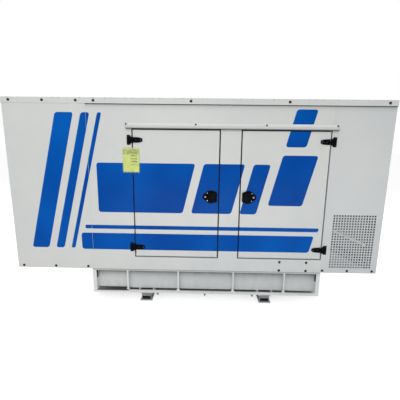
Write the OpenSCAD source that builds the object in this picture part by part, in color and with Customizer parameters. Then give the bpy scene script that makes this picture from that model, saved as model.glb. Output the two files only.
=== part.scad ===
// Silent diesel generating set: a sheet-steel canopy on a skid base that holds the fuel tank.
// Origin on the floor under the middle of the canopy: +X along the set, -Y to the operator's side, +Z up.

/* [Canopy] */
// Length of the canopy
canopy_l = 3300; // [3100:10:3600]
// Width of the canopy over the side panels
canopy_w = 1150; // [1100:10:1300]
// Height of the canopy from its bottom edge to the top of the roof
canopy_h = 1520; // [1480:10:1700]
// Thickness of the canopy sheets
sheet = 3; // [2:0.5:4]
// Length of the separate radiator module at the left end
radiator_module_l = 710; // [650:10:760]
// Depth of the lip that the roof turns down over the panels
roof_lip = 48; // [40:1:60]

/* [Doors] */
// Width of each door from gap middle to gap middle
door_w = 750; // [700:10:760]
// Height of each door from gap middle to gap middle
door_h = 1140; // [1000:10:1150]
// Height of the door's bottom gap over the canopy's bottom edge
door_z = 127; // [110:1:140]
// Width of the gap around a door
door_gap = 12; // [10:1:14]
// Width of the fixed post between the two doors
mullion_w = 185; // [150:5:220]
// Distance from the canopy's middle back to the middle of the left door
left_door_back = 176; // [150:1:200]
// Depth of the folded edge of a door
door_fold = 28; // [24:1:32]

/* [Hinges and locks] */
// Height of a hinge's base plate
hinge_h = 82; // [70:1:100]
// Height of a hinge's strap
hinge_strap_h = 47; // [36:1:56]
// Length of a hinge's strap from the pin to its tip
hinge_strap_l = 88; // [70:1:110]
// Distance from a door's top or bottom edge to the middle of its hinge
hinge_inset = 91; // [80:1:140]
// Diameter of a lock's round plate
lock_d = 114; // [100:1:120]
// Height of a lock's middle over the door's bottom gap
lock_z = 566; // [500:1:640]

/* [Air inlet] */
// Side of each square hole in the inlet grille
hole_side = 15; // [10:0.5:18]
// Distance from one grille hole to the next
hole_pitch = 24; // [22:0.5:25]
// Columns of holes
hole_columns = 16; // [4:1:16]
// Rows of holes
hole_rows = 21; // [4:1:21]

/* [Base] */
// Length of the skid base
base_l = 2164; // [2000:2:2300]
// Width of the skid base
base_w = 1000; // [900:10:1060]
// Distance of the base's middle from the canopy's middle
base_shift = 95; // [0:5:120]
// Height of the skid base without its runners
base_h = 275; // [240:5:320]
// Depth of the bays between the ribs
bay_depth = 52; // [45:1:60]
// Height of the runners under the base
runner_h = 85; // [70:1:110]
// Width of each runner
runner_w = 92; // [80:1:110]
// Distance between the middles of the runners
runner_spacing = 1150; // [1000:10:1300]

/* [Hidden] */

paint = "#d6d8d5";
black = "#1c1c1e";
foam_grey = "#3a3b3d";
engine_green = "#5d6a5f";
steel = "#9a9c9e";

// Levels
base_z = runner_h;
canopy_z = base_z + base_h;
roof_z = canopy_z + canopy_h;
panel_top = roof_z - sheet;

// Canopy sides: the half width over the panels, and how far the two roof lips stand out from them
side_y = canopy_w / 2;
end_x = canopy_l / 2;
main_lip_out = 8;
radiator_lip_out = 5;
seam_x = -end_x + radiator_module_l;
seam_gap = 2;
upstand = 46;

// Doors: gap middles, leaves and openings
left_door_x = -left_door_back - door_w / 2;
right_door_x = left_door_x + door_w + mullion_w + door_w;
door_bottom = canopy_z + door_z;
door_top = door_bottom + door_h;
half_gap = door_gap / 2;
lining_inset = 34;
lining_t = 20;
jamb_depth = 41;
seal_seat = 24;
seal_t = 5;
seal_w = 17;
seal_lap = 1;

// Hinges: the pin stands proud of the panels, over the middle of the gap, in three knuckles
pin_out = 13;
pin_d = 10;
pin_fit = 0.5;
knuckle_d = 20;
knuckle_h = 24;
barrel_h = 50;
hinge_base_near = 20;
hinge_base_far = 45;
hinge_base_t = 7;
strap_t = 8;
strap_near = 12;
strap_lap = 2;
strap_notch = 28;
notch_size = 3;
strap_taper = 22;
strap_narrows = 6;
strap_tip_h = 29;
strap_tip_r = 7;

// Locks: a round plate cut flat beside the gap, with the key on the other side and a paddle on a pin
lock_plate_t = 6;
lock_back = 71;
lock_flat = 52;
key_back = 48;
boss_back = 38;
key_boss_d = 66;
key_ring_d = 22;
key_proud = 5;
paddle_pin_x = -22;
paddle_pin_y = lock_plate_t + 11;
paddle_pin_d = 5;
paddle_h = 92;
paddle_l = 76;
paddle_t = 12;
paddle_corner = 16;
paddle_gap = 3;
pin_lug_h = 20;

// Rain rail over the doors
rail_z = door_top + 8;
rail_h = 44;
rail_out = 22;
rail_over = 54;
rail_fold = 24;
rail_root = 14;
rail_edge = 8;
rail_hem = 5;

// Hot-air outlet in the roof of the radiator module
outlet_x = -end_x + radiator_module_l / 2;
outlet_l = 500;
outlet_w = 900;
outlet_bar = 8;
outlet_slots_x = 6;
outlet_slots_y = 11;
outlet_step_x = (outlet_l - outlet_bar) / outlet_slots_x;
outlet_step_y = (outlet_w - outlet_bar) / outlet_slots_y;

// Inlet grille, and the wall and the two sloping splitters behind it
grille_x = end_x - 245;
grille_z = canopy_z + 298;
plenum_d = 260;
plenum_near = 10;
splitter_back = 20;
blade_x = grille_x - 34;
blade_z = canopy_z + 335;
blade_l = 375;
blade_t = 15;
blade_tilt = 24;
wedge_high = 286;
wedge_low = 43;
wedge_in = 40;

// Base
base_x0 = base_shift - base_l / 2;
base_x1 = base_shift + base_l / 2;
base_y = base_w / 2;
lip_bar_h = 25;
lip_bar_t = 14;
top_frame_h = 50;
end_plate_t = 34;
end_wall = 5;
end_side_wall = 8;
rib_t = 14;
outer_rib = 748;
inner_rib = 263;
tank_y = base_y - bay_depth;
tank_z = base_z + lip_bar_h;
tank_wall = 4;
deck_t = 6;
slot_w = 22;
slot_h = 66;
slot_in = 24;
slot_below = 4;
runner_wall = 6;
runner_plate_w = runner_w + 28;
runner_sole_w = runner_w + 24;
runner_set_in = 25;
runner_stop_z = 46;
tie_bar_t = 12;
tie_bar_out = runner_plate_w / 2 + 2 + tie_bar_t / 2;

// Power set inside the canopy, from the radiator at the left end to the control cabinet
floor_t = 4;
floor_z = canopy_z + floor_t;
bearer_h = 100;
bearer_y = 260;
bearer_w = 60;
bearer_before = 80;
bearer_after = 40;
radiator_in = 210;
radiator_t = 130;
radiator_w = 860;
radiator_top = 1180;
radiator_frame = 60;
core_sink = 20;
cowl_t = 80;
cowl_w = 800;
cowl_bottom = 60;
cowl_top = 860;
cowl_bore = 700;
fan_d = 650;
fan_hub_d = 150;
fan_hub_l = 70;
fan_root = 60;
fan_shaft_d = 60;
fan_blade_w = 90;
fan_blade_t = 12;
fan_pitch = 30;
fan_blades = 6;
crank_h = 330;
engine_after = 230;
engine_l = 800;
block_w = 340;
block_over = 280;
block_under = 160;
sump_w = 280;
sump_h = 140;
sump_in = 40;
head_w = 230;
head_h = 120;
manifold_in = 100;
manifold_y0 = 115;
manifold_z0 = 150;
manifold_h = 120;
foot_w = 90;
foot_h = 200;
bell_d = 560;
bell_l = 80;
alternator_d = 500;
alternator_l = 590;
alternator_cap_d = 420;
alternator_cap_l = 50;
terminal_l = 340;
terminal_w = 380;
terminal_in = 120;
terminal_z0 = 180;
terminal_z1 = 420;
cradle_l = 460;
cradle_in = 60;
cradle_h = 150;
cabinet_w = 400;
cabinet_d = 240;
cabinet_h = 640;
cabinet_z = 560;
cabinet_from_door = 94;
cabinet_back = 155;
cabinet_leg = 60;
cabinet_leg_in = 10;
crank_z = floor_z + bearer_h + crank_h;
fan_z = crank_z + 20;
radiator_x0 = -end_x + radiator_in;
radiator_x1 = radiator_x0 + radiator_t;
cowl_x1 = radiator_x1 + cowl_t;
engine_x0 = cowl_x1 + engine_after;
engine_x1 = engine_x0 + engine_l;
alternator_x0 = engine_x1 + bell_l;
alternator_x1 = alternator_x0 + alternator_l;

module box(x0, x1, y0, y1, z0, z1) {
  translate([x0, y0, z0]) cube([x1 - x0, y1 - y0, z1 - z0]);
}

// Leaves a piece on the operator's side (-1), or mirrors it to the back (1)
module to_side(side) {
  if (side < 0) children();
  else mirror([0, 1, 0]) children();
}

// ---- Base ----

// Box-section runner across the base with a wider top plate, its ends closed in their upper half only
module runner(x) {
  half_w = runner_w / 2;
  end_y = base_y - runner_set_in;
  color(paint) translate([x, 0, 0]) {
    box(-runner_sole_w / 2, runner_sole_w / 2, -base_y, base_y, 0, runner_wall);
    box(-runner_plate_w / 2, runner_plate_w / 2, -base_y, base_y, runner_h - runner_wall, runner_h);
    box(-half_w, -half_w + runner_wall, -end_y, end_y, 0, runner_h);
    box(half_w - runner_wall, half_w, -end_y, end_y, 0, runner_h);
    for (side = [-1, 1]) to_side(side)
      box(-half_w, half_w, -end_y, -end_y + runner_wall, runner_stop_z, runner_h);
  }
}

module runner_left() {
  runner(base_shift - runner_spacing / 2);
}

module runner_right() {
  runner(base_shift + runner_spacing / 2);
}

// Lip bars along the foot of both long sides
module base_lip_bars() {
  color(paint) for (side = [-1, 1]) to_side(side)
    box(base_x0 + end_plate_t, base_x1 - end_plate_t, -base_y, -base_y + lip_bar_t,
      base_z, base_z + lip_bar_h);
}

// Bars across the base beside each runner, which join the lip bars and carry the tank
module base_tie_bars() {
  color(paint) for (runner = [-1, 1], edge = [-1, 1])
    translate([base_shift + runner * runner_spacing / 2 + edge * tie_bar_out, 0, 0])
      box(-tie_bar_t / 2, tie_bar_t / 2, -base_y + lip_bar_t, base_y - lip_bar_t,
        base_z, base_z + lip_bar_h);
}

// Upright ribs between the bays on both long sides
module base_ribs() {
  color(paint) for (side = [-1, 1], x = [-outer_rib, -inner_rib, inner_rib, outer_rib])
    to_side(side) translate([base_shift + x, 0, 0])
      box(-rib_t / 2, rib_t / 2, -base_y, -tank_y, tank_z, canopy_z - top_frame_h);
}

// Hollow end member of the base, open below, with an upright slot near each corner
module base_end() {
  color(paint) difference() {
    box(0, end_plate_t, -base_y, base_y, base_z, canopy_z);
    box(end_wall, end_plate_t - end_wall, -base_y + end_side_wall, base_y - end_side_wall,
      base_z - 1, canopy_z - end_wall);
    for (side = [-1, 1]) to_side(side)
      translate([-1, -base_y + slot_in, canopy_z - top_frame_h - slot_below - slot_h / 2]) {
        for (end = [-1, 1]) translate([0, 0, end * (slot_h - slot_w) / 2])
          rotate([0, 90, 0]) cylinder(h = end_plate_t + 2, d = slot_w, $fn = 32);
        box(0, end_plate_t + 2, -slot_w / 2, slot_w / 2, -(slot_h - slot_w) / 2, (slot_h - slot_w) / 2);
      }
  }
}

module base_end_left() {
  translate([base_x0, 0, 0]) base_end();
}

module base_end_right() {
  translate([base_x1, 0, 0]) mirror([1, 0, 0]) base_end();
}

// Tank between the end plates, open at the top where the top frame closes it
module fuel_tank() {
  x0 = base_x0 + end_plate_t;
  x1 = base_x1 - end_plate_t;
  color(paint) difference() {
    box(x0, x1, -tank_y, tank_y, tank_z, canopy_z - top_frame_h);
    box(x0 + tank_wall, x1 - tank_wall, -tank_y + tank_wall, tank_y - tank_wall,
      tank_z + tank_wall, canopy_z - top_frame_h + 1);
  }
}

// Deck of the base with its edges turned down
module base_top_frame() {
  x0 = base_x0 + end_plate_t;
  x1 = base_x1 - end_plate_t;
  edge = bay_depth + tank_wall;
  color(paint) difference() {
    box(x0, x1, -base_y, base_y, canopy_z - top_frame_h, canopy_z);
    box(x0 + edge, x1 - edge, -base_y + edge, base_y - edge, canopy_z - top_frame_h - 1, canopy_z - deck_t);
  }
}

// ---- Canopy shell ----

// Floor pan whose turned-up edge stands behind the side panels
module canopy_floor() {
  inner_y = side_y - sheet;
  inner_x = end_x - sheet;
  color(paint) difference() {
    box(-inner_x, inner_x, -inner_y, inner_y, canopy_z, canopy_z + upstand);
    box(-inner_x + sheet, inner_x - sheet, -inner_y + sheet, inner_y - sheet,
      floor_z, canopy_z + upstand + 1);
  }
}

module front_panel_radiator() {
  color(paint) box(-end_x + sheet, seam_x - seam_gap / 2, -side_y, -side_y + sheet, canopy_z, panel_top);
}

module front_panel_left() {
  color(paint) {
    box(seam_x + seam_gap / 2, left_door_x - half_gap, -side_y, -side_y + sheet, canopy_z, panel_top);
    jamb(left_door_x - half_gap, -1);
  }
}

// Folded jamb beside a door: turned inwards, then under the door's edge as the seat of the seal
module jamb(x, side) {
  x_in = side < 0 ? x - sheet : x;
  x_seat0 = side < 0 ? x : x - seal_seat;
  box(x_in, x_in + sheet, -side_y + sheet, -side_y + jamb_depth, door_bottom - half_gap, door_top + half_gap);
  box(x_seat0, x_seat0 + seal_seat, -side_y + jamb_depth - sheet, -side_y + jamb_depth,
    door_bottom - half_gap, door_top + half_gap);
}

// Strip under a door's top or bottom edge, between the jambs' own strips
module seat_strip(x, z0) {
  box(x + half_gap + seal_seat - door_gap, x + door_w - half_gap - seal_seat + door_gap,
    -side_y + jamb_depth - sheet, -side_y + jamb_depth, z0, z0 + seal_seat);
}

module front_header() {
  x0 = left_door_x - half_gap;
  x1 = right_door_x + half_gap;
  z0 = door_top + half_gap;
  color(paint) {
    box(x0, x1, -side_y, -side_y + sheet, z0, panel_top);
    box(x0, x1, -side_y + sheet, -side_y + jamb_depth, z0, z0 + sheet);
    for (x = [left_door_x, right_door_x - door_w]) seat_strip(x, z0 - seal_seat);
  }
}

module front_sill() {
  x0 = left_door_x - half_gap;
  x1 = right_door_x + half_gap;
  z1 = door_bottom - half_gap;
  color(paint) {
    box(x0, x1, -side_y, -side_y + sheet, canopy_z, z1);
    box(x0, x1, -side_y + sheet, -side_y + jamb_depth, z1 - sheet, z1);
    for (x = [left_door_x, right_door_x - door_w]) seat_strip(x, z1);
  }
}

module front_mullion() {
  x0 = left_door_x + door_w + half_gap;
  x1 = x0 + mullion_w - door_gap;
  color(paint) {
    box(x0, x1, -side_y, -side_y + sheet, door_bottom - half_gap, door_top + half_gap);
    jamb(x0, 1);
    jamb(x1, -1);
  }
}

// Sheet with the inlet's grid of square holes, drawn flat and then stood up
module pierced_sheet(x0, x1, z0, z1) {
  first_x = grille_x - (hole_columns - 1) / 2 * hole_pitch - hole_side / 2;
  first_z = grille_z - (hole_rows - 1) / 2 * hole_pitch - hole_side / 2;
  translate([0, -side_y + sheet, 0]) rotate([90, 0, 0]) linear_extrude(sheet) difference() {
    translate([x0, z0]) square([x1 - x0, z1 - z0]);
    for (column = [0:hole_columns - 1], row = [0:hole_rows - 1])
      translate([first_x + column * hole_pitch, first_z + row * hole_pitch]) square(hole_side);
  }
}

module front_inlet_panel() {
  x0 = right_door_x + half_gap;
  color(paint) {
    pierced_sheet(x0, end_x - sheet, canopy_z, panel_top);
    jamb(x0, 1);
  }
}

// Wall behind each inlet grille that carries a sloping blade and, on the floor, a sloping wedge
module inlet_baffle() {
  x0 = right_door_x + half_gap + plenum_near;
  x1 = end_x - 2 * sheet;
  y0 = -side_y + sheet + splitter_back;
  y1 = -side_y + plenum_d;
  color(paint) for (side = [-1, 1]) to_side(side) {
    box(x0, x1, y1, y1 + sheet, floor_z, door_top);
    translate([blade_x, 0, blade_z]) rotate([0, blade_tilt, 0])
      box(-blade_l / 2, blade_l / 2, y0, y1 + sheet / 2, -blade_t / 2, blade_t / 2);
    translate([0, y1 + sheet / 2, 0]) rotate([90, 0, 0]) linear_extrude(y1 + sheet / 2 - y0) polygon([
      [x0, floor_z], [x0, floor_z + wedge_high],
      [x1 - wedge_in, floor_z + wedge_low], [x1 - wedge_in, floor_z]
    ]);
  }
}

// Back panels beside and between the doors, the last with the second inlet grille
module back_upright_panels() {
  x0 = left_door_x - half_gap;
  x1 = left_door_x + door_w + half_gap;
  color(paint) to_side(1) {
    box(-end_x + sheet, x0, -side_y, -side_y + sheet, canopy_z, panel_top);
    box(x1, x1 + mullion_w - door_gap, -side_y, -side_y + sheet, door_bottom - half_gap, door_top + half_gap);
    pierced_sheet(right_door_x + half_gap, end_x - sheet, canopy_z, panel_top);
  }
}

// Back panels over and under the doors
module back_cross_panels() {
  x0 = left_door_x - half_gap;
  x1 = right_door_x + half_gap;
  color(paint) to_side(1) {
    box(x0, x1, -side_y, -side_y + sheet, door_top + half_gap, panel_top);
    box(x0, x1, -side_y, -side_y + sheet, canopy_z, door_bottom - half_gap);
  }
}

module end_panel_left() {
  color(paint) box(-end_x, -end_x + sheet, -side_y, side_y, canopy_z, panel_top);
}

module end_panel_right() {
  color(paint) box(end_x - sheet, end_x, -side_y, side_y, canopy_z, panel_top);
}

// Roof tray: a flat top that rests on the panels, with a lip turned down outside them
module roof_tray(x0, x1, y_out) {
  difference() {
    box(x0, x1, -side_y - y_out, side_y + y_out, roof_z - roof_lip, roof_z);
    box(x0 - 1, x1 + 1, -side_y - y_out + sheet, side_y + y_out - sheet, roof_z - roof_lip - 1, panel_top);
  }
}

module roof_main() {
  color(paint) {
    roof_tray(seam_x, end_x + sheet, main_lip_out);
    box(end_x, end_x + sheet, -side_y - main_lip_out, side_y + main_lip_out, roof_z - roof_lip, roof_z);
  }
}

module roof_radiator() {
  color(paint) difference() {
    union() {
      roof_tray(-end_x - sheet, seam_x, radiator_lip_out);
      box(-end_x - sheet, -end_x, -side_y - radiator_lip_out, side_y + radiator_lip_out,
        roof_z - roof_lip, roof_z);
    }
    box(outlet_x - outlet_l / 2, outlet_x + outlet_l / 2, -outlet_w / 2, outlet_w / 2,
      panel_top - 1, roof_z + 1);
  }
}

// Grid of flat bars in the roof's air outlet
module outlet_grille() {
  color(steel) difference() {
    box(outlet_x - outlet_l / 2, outlet_x + outlet_l / 2, -outlet_w / 2, outlet_w / 2, panel_top, roof_z);
    for (i = [0:outlet_slots_x - 1], j = [0:outlet_slots_y - 1])
      translate([
        outlet_x - outlet_l / 2 + outlet_bar + i * outlet_step_x,
        -outlet_w / 2 + outlet_bar + j * outlet_step_y,
        panel_top - 1
      ]) cube([outlet_step_x - outlet_bar, outlet_step_y - outlet_bar, sheet + 2]);
  }
}

// Drip rail over the doors: an upright flange on the panel that slopes out to a turned-down edge
module rain_rail() {
  x0 = left_door_x - rail_over;
  x1 = right_door_x + rail_over;
  translate([x0, -side_y, rail_z]) rotate([90, 0, 90]) linear_extrude(x1 - x0) polygon([
    [0, rail_root], [0, rail_h], [-sheet, rail_h], [-sheet, rail_fold], [-rail_out, rail_edge],
    [-rail_out, 0], [-rail_out + sheet, 0], [-rail_out + sheet, rail_hem]
  ]);
}

module rain_rail_front() {
  color(paint) rain_rail();
}

module rain_rail_back() {
  color(paint) to_side(1) rain_rail();
}

// ---- Doors ----

// Door leaf: a tray with its edges folded inwards
module leaf(x) {
  difference() {
    box(x + half_gap, x + door_w - half_gap, -side_y, -side_y + door_fold,
      door_bottom + half_gap, door_top - half_gap);
    box(x + half_gap + sheet, x + door_w - half_gap - sheet, -side_y + sheet, -side_y + door_fold + 1,
      door_bottom + half_gap + sheet, door_top - half_gap - sheet);
  }
}

// Sound-absorbing foam inside a door
module lining(x) {
  box(x + lining_inset, x + door_w - lining_inset, -side_y + sheet, -side_y + sheet + lining_t,
    door_bottom + lining_inset, door_top - lining_inset);
}

module door_left() {
  color(paint) leaf(left_door_x);
}

module door_right() {
  color(paint) leaf(right_door_x - door_w);
}

module door_left_lining() {
  color(foam_grey) lining(left_door_x);
}

module door_right_lining() {
  color(foam_grey) lining(right_door_x - door_w);
}

module back_door_left() {
  color(paint) to_side(1) leaf(left_door_x);
}

module back_door_right() {
  color(paint) to_side(1) leaf(right_door_x - door_w);
}

// Rubber strips that the doors close against
module door_seals() {
  y1 = -side_y + jamb_depth - sheet;
  color(black) for (x = [left_door_x, right_door_x - door_w])
    difference() {
      box(x - seal_lap, x + door_w + seal_lap, y1 - seal_t, y1, door_bottom - seal_lap, door_top + seal_lap);
      box(x - seal_lap + seal_w, x + door_w + seal_lap - seal_w, y1 - seal_t - 1, y1 + 1,
        door_bottom - seal_lap + seal_w, door_top + seal_lap - seal_w);
    }
}

// ---- Hinges ----

// Fixed half of a hinge, round its pin at the origin: a base plate that narrows to two knuckles
module hinge_base() {
  near = knuckle_d / 2 - 1;
  end_h = (barrel_h - knuckle_h) / 2 - pin_fit;
  translate([0, pin_out, 0]) rotate([90, 0, 0]) linear_extrude(hinge_base_t) polygon([
    [-hinge_base_far, -hinge_h / 2], [-hinge_base_near, -hinge_h / 2], [-near, -barrel_h / 2],
    [-near, barrel_h / 2], [-hinge_base_near, hinge_h / 2], [-hinge_base_far, hinge_h / 2]
  ]);
  for (end = [-1, 1]) translate([0, 0, end * (barrel_h - end_h) / 2 - end_h / 2]) {
    cylinder(h = end_h, d = knuckle_d, $fn = 40);
    box(-knuckle_d, 0, -knuckle_d / 2, pin_out - hinge_base_t, 0, end_h);
  }
  translate([0, 0, -barrel_h / 2]) cylinder(h = barrel_h, d = pin_d, $fn = 40);
}

// Outline of a strap: it narrows slowly past a small notch, then tapers to a tip with round corners
module strap_outline() {
  edge = hinge_strap_h / 2;
  far_edge = edge - strap_narrows / 2;
  tip = strap_tip_h / 2;
  polygon([
    [strap_near, -edge], [strap_notch - notch_size, -edge], [strap_notch, -edge + notch_size],
    [strap_notch + notch_size, -edge], [hinge_strap_l - strap_taper, -far_edge],
    [hinge_strap_l - strap_tip_r, -tip], [hinge_strap_l - strap_tip_r, tip],
    [hinge_strap_l - strap_taper, far_edge], [strap_notch + notch_size, edge],
    [strap_notch, edge - notch_size], [strap_notch - notch_size, edge], [strap_near, edge]
  ]);
  translate([hinge_strap_l - strap_tip_r, -tip + strap_tip_r])
    square([strap_tip_r, 2 * (tip - strap_tip_r)]);
  for (end = [-1, 1]) translate([hinge_strap_l - strap_tip_r, end * (tip - strap_tip_r)])
    circle(r = strap_tip_r, $fn = 32);
}

// Moving half of a hinge: the middle knuckle and the strap on the door
module hinge_strap() {
  difference() {
    union() {
      translate([0, 0, -knuckle_h / 2]) cylinder(h = knuckle_h, d = knuckle_d, $fn = 40);
      box(0, strap_near + strap_lap, -knuckle_d / 2, pin_out - strap_t, -knuckle_h / 2, knuckle_h / 2);
      translate([0, pin_out, 0]) rotate([90, 0, 0]) linear_extrude(strap_t) strap_outline();
      box(pin_d / 2 + strap_lap, strap_near + strap_lap, 0, pin_out - strap_lap,
        -knuckle_h / 2, knuckle_h / 2);
    }
    translate([0, 0, -knuckle_h / 2 - 1]) cylinder(h = knuckle_h + 2, d = pin_d + 2 * pin_fit, $fn = 40);
  }
}

hinge_levels = [door_bottom + hinge_inset, door_top - hinge_inset];

// Puts a hinge piece at a door's upper and lower hinge; hand is 1 for the left door and -1 for the right door
module at_hinges(hand) {
  x = hand > 0 ? left_door_x : right_door_x;
  for (z = hinge_levels) translate([x, -side_y - pin_out, z])
    if (hand > 0) children();
    else mirror([1, 0, 0]) children();
}

module hinge_bases() {
  color(black) for (hand = [1, -1]) at_hinges(hand) hinge_base();
}

module door_left_hinges() {
  color(black) at_hinges(1) hinge_strap();
}

module door_right_hinges() {
  color(black) at_hinges(-1) hinge_strap();
}

module back_hinges() {
  color(black) to_side(1) for (hand = [1, -1]) at_hinges(hand) {
    hinge_base();
    hinge_strap();
    translate([0, 0, -barrel_h / 2]) cylinder(h = barrel_h, d = knuckle_d, $fn = 40);
  }
}

// ---- Locks ----

// Round lock plate, cut flat beside the gap, with a boss round the key and a lug for the paddle's pin
module lock_plate() {
  rotate([90, 0, 0]) {
    difference() {
      union() {
        cylinder(h = lock_plate_t, d = lock_d, $fn = 64);
        translate([-boss_back, 0, 0]) cylinder(h = lock_plate_t, d = key_boss_d, $fn = 64);
      }
      translate([lock_flat, -lock_d / 2, -1]) cube([lock_d, lock_d, lock_plate_t + 2]);
    }
    translate([-key_back, 0, 0]) cylinder(h = lock_plate_t + key_proud, d = key_ring_d, $fn = 40);
  }
  translate([paddle_pin_x, 0, 0]) {
    box(-paddle_t / 2, paddle_t / 2, -paddle_pin_y, -lock_plate_t, -pin_lug_h / 2, pin_lug_h / 2);
    translate([0, -paddle_pin_y, -pin_lug_h / 2]) cylinder(h = pin_lug_h, d = paddle_t, $fn = 40);
    translate([0, -paddle_pin_y, -paddle_h / 2]) cylinder(h = paddle_h, d = paddle_pin_d, $fn = 32);
  }
}

// Paddle's outline from its pin to the edge that is pulled, whose corners are round
module paddle_outline() {
  translate([0, -paddle_h / 2]) square([paddle_l - paddle_corner, paddle_h]);
  translate([0, -paddle_h / 2 + paddle_corner]) square([paddle_l, paddle_h - 2 * paddle_corner]);
  for (end = [-1, 1]) translate([paddle_l - paddle_corner, end * (paddle_h / 2 - paddle_corner)])
    circle(r = paddle_corner, $fn = 40);
}

// Paddle that is pulled out by its edge next to the gap, with a notch for the lug at its pin
module lock_paddle() {
  translate([paddle_pin_x, -paddle_pin_y, 0]) difference() {
    union() {
      translate([0, 0, -paddle_h / 2]) cylinder(h = paddle_h, d = paddle_t, $fn = 40);
      translate([0, paddle_t / 2, 0]) rotate([90, 0, 0]) linear_extrude(paddle_t) paddle_outline();
    }
    translate([0, 0, -paddle_h / 2 - 1])
      cylinder(h = paddle_h + 2, d = paddle_pin_d + 2 * pin_fit, $fn = 32);
    box(-paddle_t, paddle_t / 2 + paddle_gap, -paddle_t, paddle_t,
      -pin_lug_h / 2 - paddle_gap, pin_lug_h / 2 + paddle_gap);
  }
}

// Puts a lock piece on a door; hand is 1 for the left door and -1 for the right door
module at_lock(hand) {
  x = hand > 0 ? left_door_x + door_w - lock_back : right_door_x - door_w + lock_back;
  translate([x, -side_y, door_bottom + lock_z])
    if (hand > 0) children();
    else mirror([1, 0, 0]) children();
}

module door_left_lock() {
  color(black) at_lock(1) lock_plate();
}

module door_right_lock() {
  color(black) at_lock(-1) lock_plate();
}

module door_left_paddle() {
  color(black) at_lock(1) lock_paddle();
}

module door_right_paddle() {
  color(black) at_lock(-1) lock_paddle();
}

module back_locks() {
  color(black) to_side(1) for (hand = [1, -1]) at_lock(hand) {
    lock_plate();
    translate([paddle_pin_x, -lock_plate_t, 0]) rotate([90, 0, 0])
      linear_extrude(paddle_pin_y + paddle_t / 2 - lock_plate_t) paddle_outline();
  }
}

// ---- Power set ----

module along_x(x0, x1, y, z, d, sides = 48) {
  translate([x0, y, z]) rotate([0, 90, 0]) cylinder(h = x1 - x0, d = d, $fn = sides);
}

module engine_bearers() {
  color(black) for (side = [-1, 1]) to_side(side)
    box(engine_x0 - bearer_before, alternator_x1 + alternator_cap_l + bearer_after,
      bearer_y - bearer_w / 2, bearer_y + bearer_w / 2, floor_z, floor_z + bearer_h);
}

// Radiator core in its frame, with the fan cowl on the engine's side
module radiator() {
  half_w = radiator_w / 2;
  color(black) {
    difference() {
      box(radiator_x0, radiator_x1, -half_w, half_w, floor_z, floor_z + radiator_top);
      box(radiator_x0 - 1, radiator_x0 + core_sink, -half_w + radiator_frame, half_w - radiator_frame,
        floor_z + 2 * radiator_frame, floor_z + radiator_top - 2 * radiator_frame);
    }
    difference() {
      box(radiator_x1, cowl_x1, -cowl_w / 2, cowl_w / 2, floor_z + cowl_bottom, floor_z + cowl_top);
      along_x(radiator_x1 + core_sink, cowl_x1 + 1, 0, fan_z, cowl_bore, 64);
    }
  }
}

// Fan, its shaft and its hub in the cowl
module fan() {
  hub_x = cowl_x1 - core_sink;
  along_x(hub_x, engine_x0, 0, fan_z, fan_shaft_d);
  along_x(hub_x, hub_x + fan_hub_l, 0, fan_z, fan_hub_d);
  for (blade = [0:fan_blades - 1])
    translate([hub_x + fan_hub_l / 2, 0, fan_z])
      rotate([blade * 360 / fan_blades, 0, 0]) rotate([0, 0, fan_pitch])
        box(-fan_blade_t / 2, fan_blade_t / 2, -fan_blade_w / 2, fan_blade_w / 2, fan_root, fan_d / 2);
}

// Engine block with its sump, head, manifold, flywheel housing and four feet
module engine() {
  bearer_top = floor_z + bearer_h;
  color(engine_green) {
    box(engine_x0, engine_x1, -block_w / 2, block_w / 2, crank_z - block_under, crank_z + block_over);
    box(engine_x0 + sump_in, engine_x1 - sump_in, -sump_w / 2, sump_w / 2,
      crank_z - block_under - sump_h, crank_z - block_under);
    box(engine_x0 + sump_in, engine_x1 - sump_in, -head_w / 2, head_w / 2,
      crank_z + block_over, crank_z + block_over + head_h);
    box(engine_x0 + manifold_in, engine_x1 - manifold_in, manifold_y0, bearer_y,
      crank_z + manifold_z0, crank_z + manifold_z0 + manifold_h);
    along_x(engine_x1, alternator_x0, 0, crank_z, bell_d);
    for (side = [-1, 1], x = [engine_x0 + manifold_in, engine_x1 - manifold_in - foot_w]) to_side(side)
      box(x, x + foot_w, block_w / 2, bearer_y + bearer_w / 2, bearer_top, bearer_top + foot_h);
    fan();
  }
}

// Alternator with its end cap, terminal box and cradle
module alternator() {
  color(engine_green) {
    along_x(alternator_x0, alternator_x1, 0, crank_z, alternator_d);
    along_x(alternator_x1, alternator_x1 + alternator_cap_l, 0, crank_z, alternator_cap_d);
    translate([alternator_x0 + terminal_in, 0, crank_z])
      box(0, terminal_l, -terminal_w / 2, terminal_w / 2, terminal_z0, terminal_z1);
    translate([alternator_x0 + cradle_in, 0, floor_z + bearer_h])
      box(0, cradle_l, -bearer_y - bearer_w / 2, bearer_y + bearer_w / 2, 0, cradle_h);
  }
}

// Control cabinet on two legs, behind the right door
module control_cabinet() {
  x1 = right_door_x - cabinet_from_door;
  x0 = x1 - cabinet_w;
  y0 = -side_y + cabinet_back;
  color(paint) {
    box(x0, x1, y0, y0 + cabinet_d, floor_z + cabinet_z, floor_z + cabinet_z + cabinet_h);
    for (x = [x0 + cabinet_leg_in, x1 - cabinet_leg_in - cabinet_leg])
      translate([x, y0 + (cabinet_d - cabinet_leg) / 2, floor_z]) cube([cabinet_leg, cabinet_leg, cabinet_z]);
  }
}

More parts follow.
